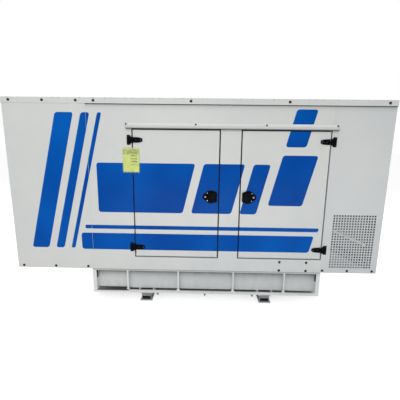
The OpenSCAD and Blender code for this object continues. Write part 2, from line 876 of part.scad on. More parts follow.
runner_left();
runner_right();
base_lip_bars();
base_tie_bars();
base_ribs();
base_end_left();
base_end_right();
fuel_tank();
base_top_frame();
canopy_floor();
front_panel_radiator();
front_panel_left();
front_header();
front_mullion();
front_sill();
front_inlet_panel();
inlet_baffle();
back_upright_panels();
back_cross_panels();
back_door_left();
back_door_right();
end_panel_left();
end_panel_right();
roof_main();
roof_radiator();
outlet_grille();
rain_rail_front();
rain_rail_back();
door_left();
door_right();
door_left_lining();
door_right_lining();
door_seals();
hinge_bases();
door_left_hinges();
door_right_hinges();
back_hinges();
door_left_lock();
door_right_lock();
door_left_paddle();
door_right_paddle();
back_locks();
radiator();
engine();
alternator();
control_cabinet();
engine_bearers();
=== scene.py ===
"""Looks of the silent diesel generating set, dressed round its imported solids.

Metres, +Z up, front towards -Y. Where nodes are added, t is their tree, and where shapes are added,
bm is the mesh that takes them.
"""
import math
from functools import cached_property
from itertools import product

import bmesh
import bpy
from mathutils import Matrix, Vector


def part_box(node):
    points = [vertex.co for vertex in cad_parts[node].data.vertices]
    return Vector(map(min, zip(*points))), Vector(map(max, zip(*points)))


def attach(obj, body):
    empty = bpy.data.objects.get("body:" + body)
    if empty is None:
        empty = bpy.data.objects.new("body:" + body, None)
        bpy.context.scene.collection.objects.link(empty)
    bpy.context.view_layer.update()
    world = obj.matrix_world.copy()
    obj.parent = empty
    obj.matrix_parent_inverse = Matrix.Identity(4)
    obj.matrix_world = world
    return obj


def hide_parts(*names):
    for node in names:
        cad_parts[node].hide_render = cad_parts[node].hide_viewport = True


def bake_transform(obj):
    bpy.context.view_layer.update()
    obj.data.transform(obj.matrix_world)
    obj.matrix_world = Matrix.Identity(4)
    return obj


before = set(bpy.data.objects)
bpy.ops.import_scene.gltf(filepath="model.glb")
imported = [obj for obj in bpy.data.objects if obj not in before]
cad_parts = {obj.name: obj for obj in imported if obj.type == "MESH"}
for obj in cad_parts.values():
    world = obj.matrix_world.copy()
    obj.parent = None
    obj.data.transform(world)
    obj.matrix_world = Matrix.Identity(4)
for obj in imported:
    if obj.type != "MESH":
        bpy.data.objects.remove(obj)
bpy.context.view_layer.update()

# ---- Places that the frame gives ----

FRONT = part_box("front_header")[0].y
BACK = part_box("back_cross_panels")[1].y
LEFT_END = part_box("end_panel_left")[0].x
RIGHT_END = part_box("end_panel_right")[1].x
CANOPY_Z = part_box("front_sill")[0].z
FLOOR_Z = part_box("canopy_floor")[0].z
ROOF_LOW, ROOF_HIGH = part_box("roof_main")
SEAM_X, ROOF_Z = ROOF_LOW.x, ROOF_HIGH.z
INLET_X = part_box("front_inlet_panel")[0].x + 0.021
BASE_LOW, BASE_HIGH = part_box("base_lip_bars")
RAIL_LOW, RAIL_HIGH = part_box("rain_rail_front")
CABINET_LOW, CABINET_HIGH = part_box("control_cabinet")
SIDES = (-1, 1)
HANDS = {"left": 1, "right": -1}
DOORS, LOCKS, LININGS, HINGES, PADDLES = ({side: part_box(f"door_{side}{part}") for side in HANDS}
                                          for part in ("", "_lock", "_lining", "_hinges", "_paddle"))


def turned(degrees, axis):
    return Matrix.Rotation(math.radians(degrees), 4, axis)


FACING = {"front": turned(90, "X"), "back": turned(-90, "X"), "left": turned(-90, "Y"),
          "right": turned(90, "Y"), "down": turned(180, "X"), "up": Matrix.Identity(4)}


def spaced(first, last, count):
    """Values at even steps from the first to the last."""
    return [first + (last - first) * i / (count - 1) for i in range(count)]


# ---- Node trees ----

def srgb(colour):
    """Linear colour of an sRGB one given from 0 to 255."""
    parts = [value / 255 for value in colour]
    return tuple(p / 12.92 if p <= 0.04045 else ((p + 0.055) / 1.055) ** 2.4 for p in parts) + (1.0,)


def math_node(operation):
    """A method of Value that adds a Math node of this operation."""
    def method(self, other=0.0):
        return self.tree.add("Math", {0: self, 1: other}, operation=operation)
    return method


class Value:
    """One output in a node tree. Sums, products and comparisons of it add Math nodes."""

    __add__, __sub__, __mul__, __truediv__ = map(math_node, ("ADD", "SUBTRACT", "MULTIPLY", "DIVIDE"))
    __lt__, __gt__, __abs__ = map(math_node, ("LESS_THAN", "GREATER_THAN", "ABSOLUTE"))
    max, min, exp, pingpong = map(math_node, ("MAXIMUM", "MINIMUM", "EXPONENT", "PINGPONG"))

    def __init__(self, tree, socket):
        self.tree, self.socket = tree, socket

    def of(self, name):
        """Another output of the same node."""
        return Value(self.tree, self.socket.node.outputs[name])

    def spread(self, low, high, to_low=0.0, to_high=1.0):
        """This value moved from one range to another and held inside it."""
        return self.tree.add("MapRange", {"Value": self, "From Min": low, "From Max": high,
                                          "To Min": to_low, "To Max": to_high})


class Tree:
    """A node tree with short ways to add its nodes."""

    def __init__(self, tree):
        self.tree = tree

    def add(self, kind, inputs=None, output=0, **settings):
        """Adds a node, sets its properties, sets or links its inputs, and gives one of its outputs."""
        made = self.tree.nodes.new("ShaderNode" + kind)
        for name, value in settings.items():
            setattr(made, name, value)
        for name, value in (inputs or {}).items():
            if isinstance(value, Value):
                self.tree.links.new(value.socket, made.inputs[name])
            else:
                made.inputs[name].default_value = value
        return Value(self, made.outputs[output])

    def link(self, value, node, title):
        self.tree.links.new(value.socket, node.inputs[title])

    @cached_property
    def place(self):
        """The object's own coordinates."""
        return self.add("TexCoord", output="Object")

    def parts(self, vector=None):
        """X, Y and Z of a vector, or else of the place."""
        split = self.add("SeparateXYZ", {0: vector or self.place})
        return [split.of(axis) for axis in "XYZ"]

    def stretched(self, *scale, vector=None):
        return self.add("Mapping", {"Vector": vector or self.place, "Scale": scale})

    def noise(self, scale, detail=3.0, roughness=0.5, where=None):
        inputs = {"Vector": where or self.place, "Scale": scale, "Detail": detail, "Roughness": roughness}
        return self.add("TexNoise", inputs, "Fac")

    def mix(self, factor, first, second):
        return self.add("Mix", {0: factor, 6: first, 7: second}, 2, data_type="RGBA")

    def use(self, group, **values):
        """Adds a node group with these values and gives its outputs by name."""
        inputs = {title.replace("_", " "): value for title, value in values.items()}
        made = self.add("Group", inputs, node_tree=group)
        return {socket.name: Value(self, socket) for socket in made.socket.node.outputs}


class Group(Tree):
    """A node group whose inputs are given as name=default, each a colour where its default is a tuple."""

    def __init__(self, name, **inputs):
        super().__init__(bpy.data.node_groups.new(name, "ShaderNodeTree"))
        for title, value in inputs.items():
            self.new_socket(title.replace("_", " "), "INPUT", isinstance(value, tuple)).default_value = value
        inside = self.tree.nodes.new("NodeGroupInput")
        self.given = [Value(self, inside.outputs[i]) for i in range(len(inputs))]

    def new_socket(self, title, way, is_colour):
        kind = "NodeSocketColor" if is_colour else "NodeSocketFloat"
        return self.tree.interface.new_socket(title, in_out=way, socket_type=kind)

    def put_out(self, **values):
        """Adds the named outputs and links them."""
        for title in values:
            self.new_socket(title, "OUTPUT", title == "Colour")
        outside = self.tree.nodes.new("NodeGroupOutput")
        for title, value in values.items():
            self.link(value, outside, title)
        return self.tree


MATERIALS = {}


class Material(Tree):
    """A material whose Principled shader has its plain sockets set by name."""

    def __init__(self, name, **settings):
        self.material = MATERIALS[name] = bpy.data.materials.new(name)
        self.material.use_nodes = True
        super().__init__(self.material.node_tree)
        self.shader = self.tree.nodes["Principled BSDF"]
        for title, value in settings.items():
            self.shader.inputs[title.replace("_", " ")].default_value = value

    def finish(self, colour, roughness, height, distance):
        """Feeds the shader what is given, and a bump of this height."""
        bump = self.add("Bump", {"Height": height, "Distance": distance})
        for title, value in (("Base Color", colour), ("Roughness", roughness), ("Normal", bump)):
            if value:
                self.link(value, self.shader, title)


def sheet_finish():
    """Sprayed sheet metal: slow drifts of tone, streaks, grime that rises from a level, orange peel."""
    t = Group("sheet_finish", Colour=(0.66, 0.67, 0.65, 1), Second_Colour=(0.6, 0.62, 0.62, 1),
              Grime_Colour=(0.2, 0.19, 0.17, 1), Grime_Level=0.4, Grime_Reach=0.1, Grime_Amount=0.3,
              Roughness=0.38, Streaks=0.1)
    colour, second, grime_colour, level, reach, amount, roughness, streaks = t.given
    tone = t.noise(0.9, 2.0).spread(0.35, 0.65) * 0.7 + t.noise(5.5, 4.0).spread(0.3, 0.7) * 0.3
    runs = t.noise(1.0, 4.0, 0.6, t.stretched(26, 26, 1.1)).spread(0.5, 0.72) * streaks
    low = ((t.parts()[2] - level) / reach).spread(0.0, 1.0, 1.0, 0.0)
    grime = (low * t.noise(14.0, 5.0, 0.65).spread(0.38, 0.72) * amount).max(runs)
    return t.put_out(Colour=t.mix(grime, t.mix(tone, colour, second), grime_colour),
                     Roughness=roughness + grime * 0.35 + t.noise(9.0, 3.0).spread(0.3, 0.7, -0.04, 0.04),
                     Height=t.noise(2.4, 1.0) + t.noise(260.0, 2.0) * 0.008)


def cast_grain():
    """Cast or moulded surface: fine grain, faint cloudy tone, and a lighter dusting in patches."""
    t = Group("cast_grain", Colour=(0.012, 0.012, 0.013, 1), Dust_Colour=(0.1, 0.1, 0.1, 1), Dust=0.2,
              Grain_Scale=700.0, Roughness=0.45)
    colour, dust_colour, amount, scale, roughness = t.given
    grain = t.noise(scale, 3.0, 0.6)
    dust = t.noise(22.0, 4.0, 0.6).spread(0.42, 0.75) * amount
    return t.put_out(Colour=t.mix(dust, colour, dust_colour),
                     Roughness=roughness + grain.spread(0.3, 0.7, -0.06, 0.08) + dust * 0.5, Height=grain)


def edge_wear():
    """Mask that is 1 on worn outer edges and 0 on faces, broken up by noise."""
    t = Group("edge_wear", Width=0.002, Amount=0.6)
    width, amount = t.given
    rounded = t.add("Bevel", {"Radius": width}, samples=4)
    flat = t.add("NewGeometry", output="Normal")
    same = t.add("VectorMath", {0: rounded, 1: flat}, "Value", operation="DOT_PRODUCT")
    return t.put_out(Mask=same.spread(0.995, 0.9) * t.noise(90.0, 4.0, 0.65).spread(0.42, 0.62) * amount)


SHEET_FINISH, CAST_GRAIN, EDGE_WEAR = sheet_finish(), cast_grain(), edge_wear()

# ---- Masks of painted shade, and marks on the roof's lip ----

LIP_Z = ROOF_LOW.z - 0.0045
BAY_TOP_Z, DECK_SHADOW_Z = 0.286, 0.3215
RUNNER_STOP_Y = 0.4745


def roof_edge_marks(t):
    """Darker patches along the top of the roof's lip."""
    z = t.parts()[2]
    edge = z.spread(ROOF_Z - 0.014, ROOF_Z - 0.002) * z.spread(ROOF_Z - 0.0005, ROOF_Z - 0.0015)
    return edge * t.noise(34.0, 3.0, 0.7, t.stretched(1.0, 1.0, 0.25)).spread(0.56, 0.66) * 0.7


def fading_down(t, top_z, fade, strongest):
    """Mask that is strongest at a height and above it, and fades downwards by a third over each fade."""
    falling = ((t.parts()[2] - top_z).min(0.0) / fade).exp()
    return falling * t.noise(12.0, 4.0).spread(0.3, 0.7, 0.85, 1.0) * strongest


def end_bay_painted_shade(t):
    """Painted shade: a black band along the foot of the end bay on the radiator's side."""
    x, _, z = t.parts()
    return z.spread(0.101, 0.105) * z.spread(0.123, 0.116) * x.spread(-0.63, -0.66, 0.0, 0.9)


def bay_painted_shade(t):
    """Painted shade down each bay of the base, darkest under the deck, where the canopy's overhang shades it.
    """
    return fading_down(t, BAY_TOP_Z, 0.037, 0.84).max(end_bay_painted_shade(t))


def deck_painted_shadow(t):
    """Painted shadow of the canopy's edge on the deck's edge, close under the canopy."""
    return fading_down(t, DECK_SHADOW_Z, 0.005, 0.5)


def deck_painted_shade(t):
    """Painted shadow on the deck's edge, and the painted shade of the end bay."""
    return deck_painted_shadow(t).max(end_bay_painted_shade(t))


def rail_edge_shade(t):
    """Painted shade along the low edge of the rain rails."""
    return t.parts()[2].spread(RAIL_LOW.z + 0.011, RAIL_LOW.z + 0.003, 0.0, 0.5)


def under_lip_painted_shade(t):
    """Painted shade on the panels right under the main roof's lip and under the rain rail, where their
    shadows fall.
    """
    x, _, z = t.parts()
    covered = abs(x - (RAIL_LOW.x + RAIL_HIGH.x) / 2) < (RAIL_HIGH.x - RAIL_LOW.x) / 2
    rail = fading_down(t, RAIL_LOW.z, 0.009, 0.85) * covered * (z < RAIL_HIGH.z - 0.004)
    return (fading_down(t, LIP_Z, 0.014, 0.52) * (x > SEAM_X)).max(rail)


def inside_of(t, names, half_x, half_y, top_z, from_z=0.003):
    """Mask that is 1 in the two members named: within these halves of their middle, between two heights."""
    x, y, z = t.parts()
    first, second = (abs(x - (low.x + high.x) / 2) for low, high in map(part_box, names))
    return (first.min(second) < half_x) * (abs(y) < half_y) * (z > from_z) * (z < top_z)


def runner_painted_shade(t):
    """Painted shade: black inside the open runners and on top under the tank, grey on their stop plates and
    edges.
    """
    names = ("runner_left", "runner_right")
    void = inside_of(t, names, 0.043, RUNNER_STOP_Y, 0.0795)
    stop = inside_of(t, names, 0.0465, RUNNER_STOP_Y + 0.0075, 0.0788) * 0.72
    top = inside_of(t, names, 1.0, 0.4865, 0.1, 0.084) * 0.95
    edge = inside_of(t, names, 0.05, 0.51, 0.0851, 0.0785) * 0.58
    return void.max(stop).max(edge.max(top))


def end_painted_shade(t):
    """Painted shade: black inside the hollow end members, and the painted shadow on the deck's edge under the
    canopy.
    """
    return inside_of(t, ("base_end_left", "base_end_right"), 0.0165, 0.4925, 0.356).max(deck_painted_shadow(t))


# ---- Materials ----

def sheet_paint(name, colour, second, level, reach, amount, roughness=0.36, streaks=0.0, marks=None,
                mark_colour=(30, 30, 32)):
    """Light grey paint on folded sheet, cleaner or dirtier by its amounts, with marks, mostly painted shade,
    where a mask asks.
    """
    t = Material(name, Specular_IOR_Level=0.35)
    made = t.use(SHEET_FINISH, Colour=srgb(colour), Second_Colour=srgb(second), Grime_Level=level,
                 Grime_Reach=reach, Grime_Amount=amount, Roughness=roughness, Streaks=streaks)
    tone = t.mix(marks(t), made["Colour"], srgb(mark_colour)) if marks else made["Colour"]
    t.finish(tone, made["Roughness"], made["Height"], 0.0022)


def casting(name, colour, dust, roughness, grain=700.0, distance=0.00025, wear=0.5, bare=None, gloss=0.22):
    """Cast or moulded parts in one paint, with thin worn edges."""
    t = Material(name, Specular_IOR_Level=gloss)
    made = t.use(CAST_GRAIN, Colour=srgb(colour), Dust=dust, Grain_Scale=grain, Roughness=roughness)
    worn = t.use(EDGE_WEAR, Width=0.0015, Amount=wear)["Mask"]
    tone = t.mix(worn, made["Colour"], srgb(bare) if bare else (0.16, 0.16, 0.17, 1))
    t.finish(tone, made["Roughness"], made["Height"], distance)


def metal(name, colour, roughness, stretch=(1, 1, 1), scale=300.0):
    """Bare or plated metal whose fine scratches follow the stretch of their coordinates."""
    t = Material(name, Metallic=1.0)
    scratches = t.noise(scale, 4.0, 0.7, t.stretched(*stretch))
    light = srgb(colour)
    darker = tuple(part * 0.72 for part in light[:3]) + (1.0,)
    t.finish(t.mix(t.noise(25.0, 4.0).spread(0.3, 0.75), light, darker),
             scratches.spread(0.25, 0.75, roughness - 0.07, roughness + 0.12), scratches, 0.00008)


def foam(name, dark, light):
    """Open-cell sound foam or felt: deeply pitted, its two tones set."""
    t = Material(name, Specular_IOR_Level=0.2)
    cells = t.add("TexVoronoi", {"Vector": t.place, "Scale": 210.0}, "Distance", feature="F1")
    pores = cells.spread(0.1, 0.75)
    tone = pores * t.noise(7.0, 4.0).spread(0.2, 0.8, 0.7, 1.0)
    t.finish(t.mix(tone, srgb(dark), srgb(light)), pores.spread(0.0, 1.0, 0.98, 0.85), pores, 0.0015)


def rubber(name, colour, bloom):
    """Sealing rubber with a faint bloom."""
    t = Material(name, Specular_IOR_Level=0.25)
    made = t.use(CAST_GRAIN, Colour=srgb(colour), Dust_Colour=srgb(bloom), Dust=0.25, Grain_Scale=450.0,
                 Roughness=0.7)
    t.finish(made["Colour"], made["Roughness"], made["Height"], 0.0002)


def film():
    """Blue vinyl film: even gloss, slow drift of tone, no speckle."""
    t = Material("blue_film", Specular_IOR_Level=0.05)
    colour = t.mix(t.noise(1.3, 2.0).spread(0.35, 0.65), srgb((0, 70, 157)), srgb((0, 92, 184)))
    t.finish(colour, t.noise(3.0, 3.0).spread(0.3, 0.7, 0.2, 0.3), t.noise(2.4, 1.0), 0.0022)


def radiator_core():
    """Black painted radiator with its fins as fine ridges."""
    t = Material("radiator_core", Specular_IOR_Level=0.4)
    fins = t.add("TexWave", {"Vector": t.place, "Scale": 60.0}, "Fac", bands_direction="Z")
    dust = t.noise(8.0, 5.0, 0.6).spread(0.4, 0.7, 0.0, 0.5)
    t.finish(t.mix(fins * dust, srgb((30, 30, 32)), srgb((96, 94, 90))), dust.spread(0.0, 0.5, 0.45, 0.7),
             fins, 0.002)


def ticket_paper():
    """Yellow-green job ticket: a darker heading band and rows of faint, rubbed marks that spell nothing."""
    t = Material("ticket_paper", Specular_IOR_Level=0.2, Roughness=0.55)
    flat = t.add("UVMap", uv_map="flat")
    across, up, _ = t.parts(flat)
    tone = t.noise(3.0, 3.0, where=flat).spread(0.3, 0.7)
    heading = up.spread(0.71, 0.76) * up.spread(0.97, 0.93)
    heading *= t.noise(9.0, 4.0, where=flat).spread(0.35, 0.6, 0.15, 0.8)
    rows = (up * 8.0).pingpong(0.5).spread(0.22, 0.34)
    strokes = t.noise(1.0, 5.0, 0.7, t.stretched(14.0, 8.0, 1.0, vector=flat)).spread(0.4, 0.5)
    field = across.spread(0.42, 0.52) * across.spread(0.93, 0.88) * up.spread(0.2, 0.26)
    paper = t.mix(tone, srgb((226, 236, 122)), srgb((206, 218, 96)))
    ink = heading.max(rows * strokes * field)
    t.finish(t.mix(ink, paper, srgb((104, 112, 18))), None, t.noise(4.0, 2.0, where=flat), 0.0008)


def clear_sleeve():
    """Clear plastic sleeve, a little hazy and creased."""
    t = Material("clear_sleeve", Base_Color=srgb((228, 236, 190)), Specular_IOR_Level=0.3, Alpha=0.16)
    creases = t.noise(6.0, 3.0, 0.6, t.add("UVMap", uv_map="flat"))
    t.finish(None, creases.spread(0.3, 0.7, 0.15, 0.3), creases, 0.002)


CANOPY_TONES = (215, 216, 212), (204, 208, 208)
# Lighter than the tank's tones, a painted highlight: parts in them, above all the lip bars, ribs and inlet
# baffle, read brighter than the lamps leave them.
LIGHTENED_FRAME_TONES = (233, 234, 233), (216, 218, 219)
ON_CANOPY, ON_BASE = (CANOPY_Z, 0.12), (BASE_LOW.z, 0.1)

# Light and second tone, level, reach and amount of grime, roughness, streaks, marks, mostly painted shade,
# and their colour
for settings in (
        ("canopy_paint", *CANOPY_TONES, *ON_CANOPY, 0.06, 0.36, 0.0, under_lip_painted_shade),
        # The inlet end's tones are darker and bluer than the canopy's: painted shade of the set's right end.
        ("inlet_shaded_paint", (211, 213, 212), (200, 204, 206), *ON_CANOPY, 0.06, 0.36, 0.0, under_lip_painted_shade),
        ("roof_paint", *CANOPY_TONES, *ON_CANOPY, 0.0, 0.36, 0.0, roof_edge_marks, (112, 114, 118)),
        # The tank's marks are painted shade, darkest under the deck.
        ("tank_paint", (218, 220, 219), (203, 207, 208), BASE_LOW.z, 0.16, 0.3, 0.42, 0.12, bay_painted_shade,
         (24, 24, 25)),
        ("frame_paint", *LIGHTENED_FRAME_TONES, *ON_BASE, 0.2, 0.4, 0.06, deck_painted_shade, (26, 26, 27)),
        ("baffle_paint", *LIGHTENED_FRAME_TONES, CANOPY_Z, 0.1, 0.2, 0.4, 0.06),
        ("rail_paint", (226, 227, 225), (214, 216, 216), CANOPY_Z, 0.1, 0.1, 0.36, 0.0, rail_edge_shade),
        ("end_paint", *LIGHTENED_FRAME_TONES, *ON_BASE, 0.2, 0.4, 0.06, end_painted_shade, (20, 20, 21)),
        ("foot_paint", *LIGHTENED_FRAME_TONES, 0.0, 0.05, 0.3, 0.5, 0.1, runner_painted_shade, (76, 76, 78)),
        ("inner_paint", *CANOPY_TONES, CANOPY_Z, 0.3, 0.3, 0.45, 0.1)):
    sheet_paint(*settings)

# Colour, dust, roughness, grain, depth of grain, wear, bare colour, gloss
for settings in (
        ("black_casting", (3, 5, 9), 0.012, 0.34, 700.0, 0.00025, 0.22, None, 0.035),
        ("black_paint", (28, 28, 30), 0.3, 0.5, 220.0, 0.0004),
        ("bolt_black", (30, 30, 33), 0.25, 0.42, 900.0, 0.00015, 0.35),
        ("engine_paint", (92, 106, 96), 0.35, 0.5, 160.0, 0.0008, 0.35, (70, 72, 70)),
        ("machine_black", (22, 22, 24), 0.25, 0.42, 320.0, 0.0003, 0.3),
        ("exhaust_steel", (104, 76, 58), 0.6, 0.75, 60.0, 0.0007, 0.5, (58, 42, 34)),
        ("filter_paint", (204, 202, 194), 0.12, 0.34, 500.0, 0.0001, 0.2, (150, 148, 142)),
        ("battery_case", (38, 39, 43), 0.3, 0.5, 240.0, 0.0003, 0.2),
        ("display_glass", (16, 26, 28), 0.04, 0.12, 900.0, 0.00002, 0.0, None, 0.5),
        ("stop_red", (186, 22, 18), 0.04, 0.3, 900.0, 0.00008, 0.1, (140, 14, 12), 0.4),
        ("stop_yellow", (228, 188, 24), 0.05, 0.4, 900.0, 0.00008, 0.1, (190, 150, 20), 0.4),
        ("lamp_green", (36, 132, 62), 0.03, 0.22, 900.0, 0.00004, 0.0, None, 0.5)):
    casting(*settings)

for settings in (("zinc_sheet", (188, 190, 192), 0.42, (1, 1, 8), 120.0),
                 ("bright_metal", (206, 206, 208), 0.28), ("dull_zinc", (128, 128, 130), 0.45),
                 ("screw_steel", (92, 92, 94), 0.5), ("key_brass", (152, 143, 132), 0.4)):
    metal(*settings)
for settings in (("sound_foam", (30, 31, 33), (72, 74, 78)), ("plenum_foam", (66, 68, 71), (110, 112, 116)),
                 ("black_foam", (8, 8, 9), (26, 27, 29)), ("grey_felt", (120, 122, 125), (164, 166, 169))):
    foam(*settings)
for settings in (("seal_rubber", (20, 20, 21), (60, 60, 60)), ("lip_rubber", (44, 46, 50), (88, 89, 92)),
                 ("hem_rubber", (84, 85, 86), (128, 128, 128)), ("duct_rubber", (30, 30, 32), (74, 74, 74))):
    rubber(*settings)
for make_material in (film, radiator_core, ticket_paper, clear_sleeve):
    make_material()

NODE_FINISHES = {
    "canopy_paint": """front_panel_radiator front_panel_left front_header front_mullion front_sill
        back_upright_panels back_cross_panels back_door_left back_door_right end_panel_left
        end_panel_right door_left door_right""",
    "inlet_shaded_paint": "front_inlet_panel",
    "frame_paint": "base_lip_bars base_tie_bars base_ribs base_top_frame",
    "baffle_paint": "inlet_baffle",
    "rail_paint": "rain_rail_front rain_rail_back",
    "end_paint": "base_end_left base_end_right",
    "tank_paint": "fuel_tank",
    "roof_paint": "roof_main roof_radiator",
    "foot_paint": "runner_left runner_right",
    "inner_paint": "canopy_floor control_cabinet",
    "black_casting": """hinge_bases door_left_hinges door_right_hinges back_hinges door_left_lock
        door_right_lock door_left_paddle door_right_paddle back_locks""",
    "black_paint": "engine_bearers",
    "engine_paint": "engine alternator",
    "zinc_sheet": "outlet_grille",
    "sound_foam": "door_left_lining door_right_lining",
    "seal_rubber": "door_seals",
    "radiator_core": "radiator",
}
PIECE_SLOTS = {
    "canopy_paint": "canopy_paint frame_paint foot_paint inner_paint",
    "black_paint": "black_paint bolt_black machine_black",
    "black_die_casting": "black_casting",
    "seal_rubber": "seal_rubber lip_rubber hem_rubber duct_rubber",
    "foam_lining": "sound_foam plenum_foam black_foam grey_felt",
    "zinc_sheet": "dull_zinc",
    "engine_paint": "engine_paint",
}
SLOT_OF = {material: slot for slot, names in PIECE_SLOTS.items() for material in names.split()}

for material, names in NODE_FINISHES.items():
    for name in names.split():
        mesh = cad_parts[name].data
        mesh.materials.clear()
        mesh.materials.append(MATERIALS[material])


# ---- Meshes ----

SMOOTH_BELOW = math.radians(35)
PLANNED = []


def begin(name, material, body="set", slot=None, smooth=True):
    """An empty mesh that becomes this piece when all the meshes are built."""
    PLANNED.append((name, bmesh.new(), material, body, slot, smooth))
    return PLANNED[-1][1]


def begin_all(smooth=True, **materials):
    """Empty meshes for several pieces of the set, given as name=material."""
    return [begin(name, material, smooth=smooth) for name, material in materials.items()]


def to_mesh(bm, name):
    """Mesh data of a finished bmesh, which is freed."""
    mesh = bpy.data.meshes.new(name)
    bm.to_mesh(mesh)
    bm.free()
    return mesh


def piece(name, bm, material, body="set", slot=None, smooth=True):
    """Turns a mesh into a piece that rides on a body."""
    bmesh.ops.recalc_face_normals(bm, faces=bm.faces)
    mesh = to_mesh(bm, name)
    if smooth:
        mesh.shade_smooth()
        mesh.set_sharp_from_angle(angle=SMOOTH_BELOW)
    mesh.materials.append(MATERIALS[material])
    made = bpy.data.objects.new(name, mesh)
    bpy.context.scene.collection.objects.link(made)
    slot = slot or SLOT_OF.get(material)
    if body:
        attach(made, body)
    return made


def span(at, first, last=None):
    """Range from first to last about a value, or as far to both sides of it."""
    return (at - first, at + first) if last is None else (at + first, at + last)


def round_off(bm, geom, offset, segments=3, affect="EDGES"):
    bmesh.ops.bevel(bm, geom=list(geom), offset=offset, segments=segments, profile=0.5, affect=affect,
                    material=-1)


def cylinder(bm, radius, depth, where, segments=24, end_radius=None):
    return bmesh.ops.create_cone(bm, cap_ends=True, segments=segments, radius1=radius,
                                 radius2=end_radius or radius, depth=depth, matrix=where)["verts"]


def disc(bm, radius, z0, z1, segments=24, edge=0.0):
    """Closed cylinder from z0 to z1 on the pattern's axis, its top edge rounded if edge is given."""
    verts = cylinder(bm, radius, z1 - z0, Matrix.Translation((0, 0, (z0 + z1) / 2)), segments)
    if edge:
        edges = {e for v in verts for e in v.link_edges}
        round_off(bm, [e for e in edges if all(v.co.z > z1 - 1e-6 for v in e.verts)], edge)


def block(bm, xs, ys, zs, edge=0.0, segments=2):
    """Closed box over these ranges, given either way round, with rounded edges."""
    low, high = map(Vector, zip(sorted(xs), sorted(ys), sorted(zs)))
    where = Matrix.Translation((low + high) / 2) @ Matrix.Diagonal((*(high - low), 1))
    made = bmesh.ops.create_cube(bm, size=1.0, matrix=where)
    if edge:
        round_off(bm, {e for v in made["verts"] for e in v.link_edges}, edge, segments)


def rod(bm, start, end, radius, edge=0.0, segments=28, end_radius=None):
    """Closed round bar or cone between two points, both its rims rounded if edge is given."""
    start, end = Vector(start), Vector(end)
    along = end - start
    where = Matrix.Translation((start + end) / 2) @ along.to_track_quat("Z", "Y").to_matrix().to_4x4()
    verts = cylinder(bm, radius, along.length, where, segments, end_radius)
    if edge:
        caps = {f for v in verts for f in v.link_faces if len(f.verts) == segments}
        round_off(bm, {e for f in caps for e in f.edges}, edge)


def bars(bm, axis, at, *rows):
    """Rods along X, Y or Z at these other two coordinates: from, to, radius and what else a rod takes."""
    i = "XYZ".index(axis)
    for start, end, *sizes in rows:
        rod(bm, (*at[:i], start, *at[i:]), (*at[:i], end, *at[i:]), *sizes)


BEND_STEPS = 7


def bent_path(points, bend):
    """The points with each corner between them drawn as a curve."""
    path = [points[0]]
    for before, corner, after in zip(points, points[1:], points[2:]):
        start = corner + (before - corner).normalized() * bend
        end = corner + (after - corner).normalized() * bend
        for step in range(BEND_STEPS + 1):
            t = step / BEND_STEPS
            path.append(start.lerp(corner, t).lerp(corner.lerp(end, t), t))
    return path + [points[-1]]


def pipe(bm, points, radius, bend, roundness=4):
    """Round pipe along straight runs, with bent corners and closed ends."""
    path = bent_path([Vector(point) for point in points], bend)
    curve = bpy.data.curves.new("pipe", "CURVE")
    curve.dimensions = "3D"
    curve.bevel_depth, curve.bevel_resolution, curve.use_fill_caps = radius, roundness, True
    spline = curve.splines.new("POLY")
    spline.points.add(len(path) - 1)
    for point, place in zip(spline.points, path):
        point.co = (*place, 1.0)
    holder = bpy.data.objects.new("pipe", curve)
    mesh = bpy.data.meshes.new_from_object(holder)
    bm.from_mesh(mesh)
    bpy.data.meshes.remove(mesh)
    bpy.data.objects.remove(holder)
    bpy.data.curves.remove(curve)


def push(bm, faces, way):
    """Extrudes faces along a vector."""
    made = bmesh.ops.extrude_face_region(bm, geom=list(faces))
    moved = [item for item in made["geom"] if isinstance(item, bmesh.types.BMVert)]
    bmesh.ops.translate(bm, vec=way, verts=moved)


def prism(bm, outline, way):
    """Closed prism: a flat outline, given as points, pushed along a vector."""
    push(bm, [bm.faces.new([bm.verts.new(point) for point in outline])], way)


def pattern(build, *sizes):
    """Mesh of one small part, to be stamped many times."""
    bm = bmesh.new()
    build(bm, *sizes)
    return to_mesh(bm, "pattern")


def stamp(bm, mesh, place, facing="front", turn=0.0, about=Matrix.Identity(4)):
    """Adds a copy of a pattern whose +Z faces the named way, turned about its own axis first, then about."""
    placed = mesh.copy()
    placed.transform(about @ Matrix.Translation(place) @ FACING[facing] @ Matrix.Rotation(turn, 4, "Z"))
    bm.from_mesh(placed)
    bpy.data.meshes.remove(placed)


def stamp_both(bm, mesh, x, z, out=0.0, turn=0.0):
    """Stamps a pattern on the front and on the back, this far out from their panels."""
    stamp(bm, mesh, (x, FRONT - out, z), "front", turn)
    stamp(bm, mesh, (x, BACK + out, z), "back", turn)


# ---- Patterns of screws and bolts ----

def hexagon_bolt(bm):
    """Hexagon-headed bolt on a broad washer."""
    disc(bm, 0.0118, 0.0, 0.0018, 28, 0.0006)
    disc(bm, 0.0092, 0.0018, 0.007, 6, 0.0012)
    upright = [e for e in bm.edges if e.calc_length() < 0.0055
               and abs((e.verts[0].co - e.verts[1].co).normalized().z) > 0.9]
    round_off(bm, upright, 0.0006, 1)


def small_screw(bm, radius=0.0058):
    """Pan-head screw with a cross recess stood for by a sunk centre."""
    disc(bm, radius, 0.0, 0.0026, 20, 0.0014)
    top = [f for f in bm.faces if all(v.co.z > 0.0025 for v in f.verts)]
    bmesh.ops.inset_region(bm, faces=top, thickness=0.0022)
    bmesh.ops.translate(bm, vec=(0, 0, -0.0009), verts=[v for f in top for v in f.verts])


def slotted_screw(bm):
    """Bright oval-head screw with a cut slot."""
    disc(bm, 0.0046, 0.0, 0.0016, 20, 0.001)
    block(bm, (-0.0036, 0.0036), (-0.0005, 0.0005), (0.0016, 0.00175))


